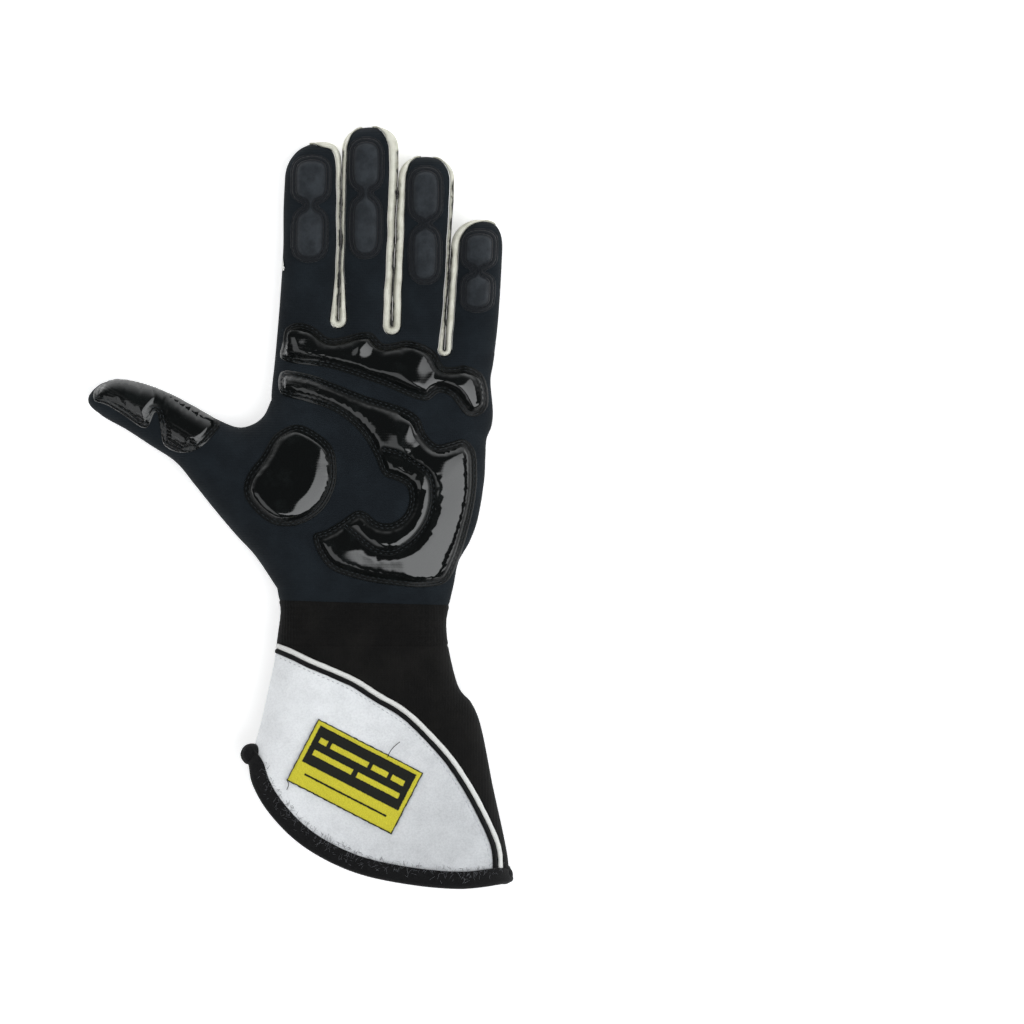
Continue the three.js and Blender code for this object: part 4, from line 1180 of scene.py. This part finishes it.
# Tape folded over the mouth of the cuff
bindingShape = {
    "wide": 6.6, "thick": 1.3, "past": 1.4, "around": 130, "flatSteps": 7, "foldSteps": 12, "wall": 1.2,
    "up": (1.0, 0.93), "hollow": (35, -145, 15), "corner": 7, "narrower": 0.35, "lowest": 0.02,
    "knots": [
        {"at": (-21.6, -113.5, 18.8), "size": (5.4, 5.2, 5.2)},
        {"at": (93.8, -168.8, 20.2), "size": (4.5, 4.5, 4.4)},
    ],
}


def hemBinding(shape):
    u = spread(shape["around"], 0.9)
    rings = []
    for side, order in (("palm", 1), ("back", -1)):
        plan = cuffPlan(u[:, None], np.array([shape["up"]]))
        rings.append(cuffSkin(plan[..., 0], plan[..., 1], side)[::order])
    ring = np.concatenate([rings[0], rings[1][1:-1]])
    edge, up = ring[:, 0], unit(ring[:, 1] - ring[:, 0])
    following = np.roll(edge, -1, axis=0) - np.roll(edge, 1, axis=0)
    outward = unit(np.cross(up, following))
    square = unit(np.cross(following, outward))
    up = square * np.sign((square * up).sum(1))[:, None]
    if ((edge - shape["hollow"]) * outward).sum() < 0:
        outward = -outward
    outside = shell["gap"] + shape["thick"]
    inside = -shell["wall"] - outside
    middle, radius = (outside + inside) / 2, (outside - inside) / 2
    flatSteps = np.linspace(shape["wide"], radius - shape["past"], shape["flatSteps"])
    angle = np.linspace(0, np.pi, shape["foldSteps"] + 1)[1:-1]
    section = [(s, outside) for s in flatSteps]
    section += [(radius - shape["past"] - radius * np.sin(a), middle + radius * np.cos(a)) for a in angle]
    section += [(s, inside) for s in flatSteps[::-1]]
    section = np.array(section)
    # narrower and thinner round the mouth's right end
    fromCorner = np.linalg.norm(edge - edge[len(u) - 1], axis=1)[:, None]
    corner = np.exp(-((fromCorner / shape["corner"]) ** 2))
    high = np.clip(section[:, 0] / shape["wide"], 0, 1)
    reach = (1 - shape["narrower"] * corner * (high > 0)) * section[:, 0]
    off = section[:, 1] - shape["thick"] * corner * high * (section[:, 1] > 0)
    points = edge[:, None] + up[:, None] * reach[..., None] + outward[:, None] * off[..., None]
    x, y, z = np.moveaxis(points, -1, 0)
    points = points + outward[:, None] * (ripple("tape", x, y) + ripple("tapeSide", x, z))[..., None]
    points = np.concatenate([points, points[:1]])
    bm = bmesh.new()
    addGrid(bm, points)
    turnOut(bm, lambda centre: centre - Vector(shape["hollow"]))
    for vert in bm.verts:
        vert.co.z = max(vert.co.z, shape["lowest"])
    top = Surface(bm)
    finishPiece("hem_binding_tape", bm, plain["black_tape"], ["hem_binding"], shape["wall"], 1)
    bm = bmesh.new()
    for knot in shape["knots"]:
        placed = Matrix.Translation(knot["at"]) @ Matrix.Diagonal((*knot["size"], 1))
        bmesh.ops.create_icosphere(bm, subdivisions=3, radius=1, matrix=placed)
    x, y, z = places(bm).T
    pushOut(bm, ripple("knot", x + z, y - z))
    finishPiece("hem_binding_knots", bm, plain["black_tape"], (), 0, 1)
    return top


tapeTop = hemBinding(bindingShape)
print("binding made")


# Fibres that stand out along the tape
fuzzShape = {
    "seed": 77, "count": 380, "radius": 0.065, "long": (0.9, 2.6), "rise": (0.1, 0.7), "over": (1.2, 8.4),
    "along": (0.02, 0.985), "crowd": (1.6, 0.9), "turn": 0.9, "bend": (-0.5, 0.5), "droop": 0.4,
    "points": 4, "sides": 3, "rooted": 0.4, "ahead": 0.01,
}


def tapeFuzz(shape):
    draw = np.random.default_rng(shape["seed"])
    bm = bmesh.new()
    for _ in range(shape["count"]):
        u = draw.uniform(*shape["along"])
        spot, ahead = mouthAt(np.array(u)), mouthAt(np.array(u + shape["ahead"]))
        run = unit(ahead - spot)
        inward = np.array([-run[1], run[0]])
        base = spot + inward * mix(*shape["over"], draw.beta(*shape["crowd"]))
        angle = draw.normal(0, shape["turn"])
        lean = inward * math.cos(angle) + run * math.sin(angle)
        bend = np.array([-lean[1], lean[0]]) * draw.uniform(*shape["bend"])
        share = np.linspace(0, 1, shape["points"])[:, None]
        leaning = lean * (share - shape["rooted"])
        plan = base + draw.uniform(*shape["long"]) * (leaning + bend * share ** 2)
        high = max(tapeTop.height(*base), greyTop.height(*base)) + draw.uniform(*shape["rise"])
        path = np.hstack([plan, high - shape["droop"] * share ** 2])
        sweep(bm, path, np.array([upwards] * len(path)), shape["radius"], shape["sides"])
    closeUp(bm)
    finishPiece("hem_binding_fuzz", bm, plain["grey_fuzz"])


tapeFuzz(fuzzShape)
print("fuzz made")


# Embroidered badge, laid on the grey panel
def makeBadge(looks):
    bm = bmesh.new()
    u, v = np.meshgrid(*[np.linspace(0, looks[k], n + 1) for k, n in zip(("wide", "tall"), looks["steps"])])
    rim = np.minimum(np.minimum(u, looks["wide"] - u), np.minimum(v, looks["tall"] - v))
    fray = ripple("fray", u, v) * (rim < looks["frayed"])
    angle = math.radians(looks["turn"])
    a, b = u - looks["wide"] / 2 + fray, v - looks["tall"] / 2 + fray
    x = looks["x"] + a * math.cos(angle) - b * math.sin(angle)
    y = looks["y"] + a * math.sin(angle) + b * math.cos(angle)
    points, normal = greyTop.read(x, y)
    lift = shell["gap"] + looks["thick"] - looks["rounded"] * (1 - smooth(rim, *looks["rounding"]))
    low, high = (looks["edge"] + shift for shift in looks["proudOut"])
    border = smooth(rim, *looks["proudIn"]) * (1 - smooth(rim, low, high))
    lift = lift + looks["proud"] * border + ripple("badge", u, v)
    addGrid(bm, points + normal * lift[..., None], np.stack([u, v], axis=-1))
    turnOut(bm, lambda centre: upwards)
    finishPiece("badge_embroidery", bm, badgeCloth, ["cuff_badge"], looks["wall"])


makeBadge(badgeLooks)
print("badge made")


# Glossy padding on the palm
def inflate(bm, held, settings):
    # Blows the sheet up like a stuffed pad. The cloth is simulated at twenty times its size,
    # and how far a point may move is capped.
    scale = settings["scale"]
    mesh = bpy.data.meshes.new("inflating")
    bm.to_mesh(mesh)
    mesh.transform(Matrix.Scale(scale * mm, 4))
    sheet = bpy.data.objects.new("inflating", mesh)
    bpy.context.scene.collection.objects.link(sheet)
    group = sheet.vertex_groups.new(name="held")
    for i, weight in enumerate(held):
        group.add([i], float(weight), "REPLACE")
    cloth = sheet.modifiers.new("cloth", "CLOTH")
    cloth.settings.quality = settings["quality"]
    cloth.settings.mass = settings["mass"]
    cloth.settings.tension_stiffness = cloth.settings.compression_stiffness = settings["stiff"]
    cloth.settings.bending_stiffness = settings["bend"]
    cloth.settings.use_pressure = True
    cloth.settings.uniform_pressure_force = settings["pressure"]
    cloth.settings.shrink_min = cloth.settings.shrink_max = -settings["spare"]
    cloth.settings.vertex_group_mass = "held"
    cloth.settings.pin_stiffness = 1
    cloth.settings.effector_weights.gravity = 0
    cloth.collision_settings.use_self_collision = False
    cloth.collision_settings.use_collision = False
    scene = bpy.context.scene
    for step in range(1, settings["frames"] + 1):
        scene.frame_set(step)
    shown = sheet.evaluated_get(bpy.context.evaluated_depsgraph_get())
    moved = np.array([v.co for v in shown.data.vertices]).reshape(-1, 3) / (scale * mm)
    scene.frame_set(1)
    bpy.data.objects.remove(sheet)
    bpy.data.meshes.remove(mesh)
    start = places(bm)
    shift = moved - start
    far = np.linalg.norm(shift, axis=1, keepdims=True)
    shift = shift * np.minimum(1, settings["cap"] / np.maximum(far, 1e-6))
    print("inflated by up to", round(float(far.max()), 2), "mm, capped at", settings["cap"])
    moveTo(bm, start + shift)


inflation = {
    "scale": 20, "quality": 4, "mass": 0.3, "stiff": 12, "bend": 0.4, "pressure": 5, "spare": 0.03,
    "frames": 20, "cap": 0.5,
}
padShape = {
    "flange": 2.9, "thin": 0.5, "step": 0.8, "channel": (1.2, 4.5), "floor": 0.9, "lobeRise": 1.2,
    "channelEdge": 1.9, "held": (-0.2, 1.6), "core": 0.6, "softenings": 4, "wall": 0.7,
    # of the thumb's pad along the side seam: how far inside, and how it thins and is evened out
    "inside": 0.8, "thinning": 4.5, "even": 3, "evenings": 8,
}
channelLine = [
    (39.3, 26.2), (46.2, 24.4), (53.6, 19.8), (58.7, 16.1), (61, 11.5), (61.4, 6), (61, 0.9),
    (58.7, -6.4), (54.5, -12.9), (49.5, -17.5), (43, -20.7), (36.6, -20.2), (32, -17.5),
    (26.9, -13.3), (21.9, -9.2),
]
pads = {
    "knuckle_pad": {"thick": 2.4, "rise": 1.5, "soft": 5, "share": 1, "lobes": [
        (-2.2, 78.8, 3.8, 50), (28.5, 74.5, 3.0, 34), (52.5, 67.5, 3.0, 140), (76, 55, 1.4, 60),
    ], "corners": [
        (-8.2, 68.2), (-7.6, 75), (-6, 82), (-1, 84.6), (6.2, 83), (13.8, 77.6), (21.6, 78.3), (27.4, 80),
        (33.4, 80), (38.4, 75), (43.4, 75.2), (49, 76.4), (57.6, 74.4), (62.8, 70.6), (66.4, 64.6),
        (71.4, 64.2), (76, 65), (83.6, 61.4), (86.6, 53), (86.2, 45.6), (81.8, 41.6), (77, 41.8),
        (73.2, 46), (69, 51), (64.2, 52.2), (58.6, 48.6), (37.2, 56.2), (15, 63.4),
    ]},
    "palm_pad": {"thick": 3.4, "rise": 1.5, "soft": 16, "share": 0.35, "lobeRise": 3, "lobes": [
        (51.5, 37.5, 2.2, 60), (66, 25, 1.4, 110),
    ], "corners": [
        (-8, 62), (4.4, 61), (15.4, 57), (31.8, 50.6), (48, 45.6), (55, 41.2), (58.4, 33.6),
        (63.6, 28.8), (69.6, 29.8), (75.6, 31.2), (80.4, 26.4), (81.6, 16), (80.8, 4.2),
        (77.4, -11), (72.4, -26), (67.2, -34.6), (58, -36.8), (42, -35.8), (26, -32.8),
        (14.4, -28.2), (8.2, -19.6), (6.8, -12.6), (12.2, -10.6), (19.4, -6.4), (26.8, -1.6),
        (30.6, -2.2), (36.2, -6.6), (42.6, -7.2), (48, -3.8), (50.6, 2.4), (49.4, 9.4),
        (44.8, 12), (39, 14.4), (35, 23), (29.6, 32.4), (21.4, 40.4), (13.4, 45),
        (3.8, 48.2), (-8.3, 52.2),
    ]},
    # flat on the thumb's side, sloping away on the other
    "thumb_base_pad": {"thick": 2.9, "rise": 1.5, "soft": 7.5, "share": 0.4, "flatShare": 0.95,
                       "flatTurn": 0.3, "flatFade": (0.25, 0.8), "corners": [
        (-1, 37.8), (8.2, 34.2), (15.6, 27.2), (17.6, 17.4), (16.4, 8.4), (10.6, -1.8), (0, -8.2),
        (-10.4, -8.4), (-19.4, -2.4), (-25, 6.2), (-23.6, 14.4), (-17, 23.4), (-10.6, 33.4),
    ]},
    "thumb_pad": {"thick": 1.8, "rise": 3.2, "soft": 7, "share": 0.6, "flange": 2.4, "step": 0.5,
                  "corners": [
        (-94.4, 49.4), (-94, 54), (-91, 58.6), (-88, 66), (-60, 64), (-35.6, 40.6), (-40.6, 31.4),
        (-46.6, 26.4), (-54.4, 25), (-61.8, 28.6), (-63.4, 36), (-65.6, 43.6), (-70, 36.2),
        (-80, 42), (-88, 46.8),
    ]},
}


rimSpan = (-1.2, 2.2)  # from the edge, over which a flange reaches its thickness


def bulge(q):  # a rounded rise from 0 to 1
    return 1 - (1 - np.clip(q, 0, 1)) ** 2


def padProfile(edge, shape):  # a thin flange, a steep rise and a gentle slope
    rim = shape["thin"] * smooth(edge, *rimSpan)
    inner = edge - shape["flange"]
    rise = mix(np.clip(inner / shape["soft"], 0, 1), bulge(inner / shape["rise"]), shape["share"])
    return rim + (shape["thick"] - shape["thin"]) * rise


def planGrid(bm, line, step):
    low, high = line.points.min(0) - step, line.points.max(0) + step
    count = np.ceil((high - low) / step).astype(int)
    x, y = low[0] + step * np.arange(count[0] + 1), low[1] + step * np.arange(count[1] + 1)
    x, y = np.meshgrid(x, y)
    addGrid(bm, np.stack([x, y, 0 * x], axis=-1))
    trimTo(bm, line.inside)


channel = Line(evenly(roundThrough(channelLine, 10, closed=False), 0.6))


def makePad(name, pad):
    line = Line(evenly(roundThrough(pad["corners"]), 0.6, closed=True), closed=True)
    shape = {**padShape, **pad}
    bm = bmesh.new()
    planGrid(bm, line, shape["step"])
    if name == "thumb_pad":  # it ends at the thumb's side seam
        trimTo(bm, lambda x, y: gloveArea.inside(x, y) - shape["inside"])
    x, y, _ = places(bm).T
    edge, flange = line.distance(x, y), shape["flange"]
    points, normal = palmTop.read(x, y)
    if name == "thumb_base_pad":
        centre = line.points.mean(0)
        toRight = np.cos(np.arctan2(y - centre[1], x - centre[0]) + pad["flatTurn"])
        shape["share"] = mix(pad["flatShare"], pad["share"], smooth(toRight, *pad["flatFade"]))
    lift = padProfile(edge, shape)
    if name == "palm_pad":  # sewn through along the channel
        aside = channel.inside(x, y)
        rise = np.where(aside > 0, *shape["channel"])
        sunk = shape["floor"] + (lift - shape["floor"]) * bulge(np.abs(aside) / rise)
        lift = np.minimum(lift, sunk)
    for lobeX, lobeY, high, wide in pad.get("lobes", []):
        dome = np.exp(-((x - lobeX) ** 2 + (y - lobeY) ** 2) / wide)
        lift = lift + high * dome * smooth(edge, flange, flange + shape["lobeRise"])
    if name == "thumb_pad":  # thin where it wraps round the side
        rimAway = np.hypot(outline.distance(x, y), np.maximum(points[:, 2] - thumbHeight["seam"], 0))
        lift = lift * smooth(rimAway, 0, shape["thinning"])
    moveTo(bm, points + normal * (lift + shell["gap"])[:, None])
    if name == "thumb_pad":
        away = gloveArea.inside(x, y)
        soften(bm, [v for v, a in zip(bm.verts, away) if a < shape["even"]], shape["evenings"], True)
    turnOut(bm, lambda centre: upwards)
    x, y, _ = places(bm).T
    edge = line.distance(x, y)
    if name == "palm_pad":
        edge = np.minimum(edge, channel.distance(x, y) + shape["channelEdge"])
    low, high = shape["held"]
    held = 1 - smooth(edge, flange + low, flange + high)
    inflate(bm, np.maximum(held, [v.is_boundary for v in bm.verts]), inflation)
    core = [v for v, far in zip(bm.verts, edge) if far > flange + shape["core"] and not v.is_boundary]
    soften(bm, core, shape["softenings"])
    setLayer(bm, "edge", edge)
    pad["surface"], pad["line"] = Surface(bm), line
    finishPiece(name + "_gloss", bm, glossPadding, [name], shape["wall"], 1)


gloveArea = Line(np.vstack([gloveOutline(), mouthCurve[::-1]]), closed=True)
for name, pad in pads.items():
    makePad(name, pad)
print("padding made")


# Matt patches on the fingers: two puffed lobes with a waist
patches = {
    "index_patch": {"y": (112, 138.6, 162), "x": (4.6, 5.8), "half": (8.8, 3.4, 9.6)},
    "middle_patch": {"y": (113.6, 144.2, 170.2), "x": (30.4, 30.8), "half": (8.2, 3.6, 8.6)},
    "ring_patch": {"y": (101.8, 130.2, 157), "x": (57.8, 58), "half": (8.0, 2.6, 8.6)},
    "little_patch": {"y": (89, 108.4, 128), "x": (81.6, 83), "half": (8.2, 2.8, 8.8)},
}
patchShape = {
    "step": 0.8, "flange": 3.3, "thin": 0.5, "thick": 1.9, "rise": 2.4, "share": 1, "soft": 1, "wall": 0.6,
    "points": 48, "crowd": 1.0, "power": 4, "narrowest": 0.01,
}


def patchOutline(patch):
    low, waist, top = patch["y"]
    t = spread(patchShape["points"], patchShape["crowd"])
    rows = []
    for part, (start, end) in enumerate(((low, waist), (waist, top))):
        half = patch["half"][2 * part]
        wide = half * np.sqrt(np.maximum(0, 1 - (2 * t - 1) ** patchShape["power"]))
        joins = t > 0.5 if part == 0 else t < 0.5
        wide = np.maximum(wide, np.where(joins, patch["half"][1], patchShape["narrowest"]))
        rows.append(np.stack([mix(*patch["x"], (part + t) / 2), mix(start, end, t), wide], axis=1))
    x, y, wide = np.vstack([rows[0], rows[1][1:]]).T
    right = np.stack([x + wide, y], axis=1)
    left = np.stack([x - wide, y], axis=1)[::-1]
    return evenly(np.vstack([right, left[1:-1]]), 0.6, closed=True)


def makePatch(name, patch):
    line = Line(patchOutline(patch), closed=True)
    bm = bmesh.new()
    planGrid(bm, line, patchShape["step"])
    x, y, _ = places(bm).T
    points, normal = palmTop.read(x, y)
    lift = shell["gap"] + padProfile(line.distance(x, y), patchShape)
    moveTo(bm, points + normal * lift[:, None])
    turnOut(bm, lambda centre: upwards)
    x, y, _ = places(bm).T
    setLayer(bm, "edge", line.distance(x, y))
    patch["surface"], patch["line"] = Surface(bm), line
    finishPiece(name + "_suede", bm, suede, [name], patchShape["wall"], 1)


for name, patch in patches.items():
    makePatch(name, patch)
print("patches made")


# Stitches: short low beads along rows that follow an outline
def stitchRow(bm, path, surface, size, lift=0.0):
    spots = evenly(path, size["pitch"])
    points, normals = surface.read(spots[:, 0], spots[:, 1])
    for point, normal, run in zip(points, normals, np.gradient(points, axis=0)):
        along3 = Vector(run).normalized()
        up = Vector(normal)
        across = up.cross(along3).normalized()
        up = along3.cross(across)
        turned = Matrix((along3, across, up)).transposed().to_4x4()
        shape = Matrix.Diagonal((size["long"], size["wide"], size["wide"] * 0.8, 1))
        place = Matrix.Translation(Vector(point + normal * lift))
        bmesh.ops.create_icosphere(bm, subdivisions=1, radius=0.5, matrix=place @ turned @ shape)


def insetPath(line, distance, slack=0.12):  # inside an outline, clear of its tight corners
    points = line.points[:-1]
    aside = leftOf(points, closed=True)
    if line.inside(*(points + aside * 0.3).T).sum() < 0:
        aside = -aside
    moved = points + aside * distance
    return moved[line.inside(*moved.T) > distance - slack]


padStitch = {"pitch": 2.5, "long": 1.7, "wide": 0.4}
patchStitch = {"pitch": 2.1, "long": 1.4, "wide": 0.4}
cuffStitch = {"pitch": 2.4, "long": 1.6, "wide": 0.35}
stitching = {
    "jump": 3, "fewest": 4, "fromSide": 2.4, "channel": (-0.65, 0.75), "channelLift": 0.12,
    "cross": (4.2, 4.6), "crossLift": 0.2, "cuffAside": 2.4, "cuffShort": 8, "cuffLift": 0.02,
}


def splitRuns(path):  # cuts a path where its points jump apart
    jump = np.flatnonzero(np.linalg.norm(np.diff(path, axis=0), axis=1) > stitching["jump"])
    return [part for part in np.split(path, jump + 1) if len(part) > stitching["fewest"]]


def padStitches():
    bm = bmesh.new()
    for name, pad in pads.items():
        for row in glossLooks["rows"]:
            path = insetPath(pad["line"], row)
            if name == "thumb_pad":
                path = path[gloveArea.inside(*path.T) > stitching["fromSide"]]
            for part in splitRuns(path):
                stitchRow(bm, part, pad["surface"], padStitch)
    for shift in stitching["channel"]:
        path = channel.points + leftOf(channel.points) * shift
        stitchRow(bm, path, pads["palm_pad"]["surface"], padStitch, stitching["channelLift"])
    finishPiece("padding_stitches", bm, plain["pad_thread"])


def patchStitches():
    bm = bmesh.new()
    for patch in patches.values():
        for row in suedeLooks["rows"]:
            for part in splitRuns(insetPath(patch["line"], row)):
                stitchRow(bm, part, patch["surface"], patchStitch)
    a, b = stitching["cross"]
    for name in ("ring_patch", "little_patch"):  # two rows cross at the waist
        patch = patches[name]
        x, y = sum(patch["x"]) / 2, patch["y"][1]
        for hand in (-1, 1):
            path = np.array([(x - a * hand, y - b), (x, y), (x + a * hand, y + b)])
            stitchRow(bm, path, patch["surface"], patchStitch, stitching["crossLift"])
    finishPiece("patch_stitches", bm, plain["grey_thread"])


def cuffStitches():
    bm = bmesh.new()
    path = pipingPath - leftOf(pipingPath) * (pipingShape["apart"] + stitching["cuffAside"])
    stitchRow(bm, clipToGlove(path, stitching["cuffShort"]), greyTop, cuffStitch, stitching["cuffLift"])
    finishPiece("cuff_stitches", bm, plain["pale_thread"])


padStitches()
patchStitches()
cuffStitches()
print("stitches made")


# Loose threads, as the photo shows them
threads = {
    "badge_thread_loose": {
        "on": greyTop, "radius": 0.17, "cloth": "black_thread", "slot": "badge",
        "strands": [
            [(40.6, -115.4, 1.3), (41.6, -112.8, 2.2), (43.4, -110.2, 1.9), (46.4, -107.6, 0.9)],
        ],
    },
    "badge_thread_corner": {
        "on": greyTop, "radius": 0.16, "cloth": "black_thread", "slot": "badge",
        "strands": [[(-5.0, -124.6, 1.3), (-4.2, -127.2, 1.5), (-5.2, -129.4, 0.6)]],
    },
    "finger_thread_tuft": {
        "on": palmTop, "radius": 0.3, "cloth": "white_thread", "slot": "cream_knit",
        "strands": [
            [(-7.5, 113.4, 0.3), (-7.3, 111.2, 0.8), (-6.8, 108.8, 0.4)],
            [(-7.6, 112.6, 0.2), (-7.5, 110.6, 0.6), (-7.2, 108.6, 0.3)],
            [(-7.4, 113.0, 0.4), (-7.0, 111.4, 0.9), (-6.5, 109.6, 0.5)],
            [(-7.8, 112.0, 0.2), (-7.7, 110.6, 0.4), (-7.5, 109.2, 0.3)],
            [(-7.6, 113.8, 0.2), (-7.2, 112.6, 0.7), (-6.9, 111.2, 0.6)],
        ],
    },
}


def looseThread(name, thread):
    bm = bmesh.new()
    for strand in thread["strands"]:
        spots = roundThrough(strand, 8, closed=False)
        points, normal = thread["on"].read(spots[:, 0], spots[:, 1])
        sweep(bm, points + normal * spots[:, 2:], normal, thread["radius"], 8)
    closeUp(bm)
    finishPiece(name, bm, plain[thread["cloth"]])


for name, thread in threads.items():
    looseThread(name, thread)
print("threads made")


# Floor and light
studio = {
    "floor": 8.0, "floorDrop": 0.0004, "floorGlow": 0.5, "aim": (0.03, 0, 0),
    "tint": (0.97, 0.99, 1, 1), "horizon": 1.1, "zenith": 0.04,
    # of the sky: the height it pales over, how fast it does so, and the lowest height it counts
    "pale": (0.85, 0.05), "beyond": 1.2, "lowest": 0.02, "rising": (0, 0.03),
    # soft boxes in the sky, on a plane one metre up: turned about the zenith, near and far edge
    "boxFade": (1.1, -0.5, 0.45, 1), "boxEdges": (0.04, 0.15),
    "windows": [
        {"turn": -50, "away": (0.17, 2.2), "aside": (-0.3, 1.7), "glow": 2.6},
        {"turn": 188, "away": (0.34, 1.3), "aside": (0.05, 1.1), "glow": 0.9},
    ],
    "lights": [{"name": "top_fill", "at": (-1.2, 0.9, 2.2), "size": (2.2, 2.2), "power": 26}],
}


def makeStudio(looks):
    bm = bmesh.new()
    bmesh.ops.create_grid(bm, x_segments=1, y_segments=1, size=looks["floor"] / 2)
    mesh = bpy.data.meshes.new("floor")
    bm.to_mesh(mesh)
    bm.free()
    paper = Finish("floor_paper")
    mesh.materials.append(paper.surface(
        Base_Color=paper.blend(paper.noise(300, 2), colour("fbfbfb"), colour("f4f4f4")),
        Roughness=0.9,
        Specular_IOR_Level=0.1,
        Emission_Color=(1, 1, 1, 1),
        Emission_Strength=looks["floorGlow"],
    ))
    floor = bpy.data.objects.new("floor", mesh)
    floor.location.z = -looks["floorDrop"]
    bpy.context.scene.collection.objects.link(floor)
    for light in looks["lights"]:
        data = bpy.data.lights.new(light["name"], "AREA")
        data.shape, data.energy = "RECTANGLE", light["power"]
        data.size, data.size_y = light["size"]
        lamp = bpy.data.objects.new(light["name"], data)
        lamp.location = light["at"]
        aim = Vector(looks["aim"]) - Vector(light["at"])
        lamp.rotation_euler = aim.to_track_quat("-Z", "Y").to_euler()
        lamp.visible_glossy = lamp.visible_camera = False
        bpy.context.scene.collection.objects.link(lamp)
    # sky: dark overhead, with two soft boxes, and paler low down beyond the fingertips
    sky = Finish("studio", bpy.data.worlds, "Generated")
    x, y, z = sky.axes()
    u, v = x / z.most(looks["lowest"]), y / z.most(looks["lowest"])
    pale = z.step(*looks["pale"]) * (y * looks["beyond"]).most(0).least(1)
    shine = pale * looks["horizon"] + looks["zenith"]
    sharp, soft = looks["boxEdges"]
    for box in looks["windows"]:
        turned = math.radians(box["turn"])
        away = u * math.cos(turned) + v * math.sin(turned)
        aside = v * math.cos(turned) - u * math.sin(turned)
        lit = z.step(*looks["rising"]) * v.step(*looks["boxFade"]) * box["glow"]
        for part, (first, last) in ((away, box["away"]), (aside, box["aside"])):
            lit = lit * part.step(first - sharp, first + sharp) * part.step(last + soft, last - soft)
        shine = shine + lit
    bpy.context.scene.world = sky.surface("Background", "OutputWorld", Color=looks["tint"], Strength=shine)
    bpy.context.scene.view_settings.view_transform = "Standard"


makeStudio(studio)
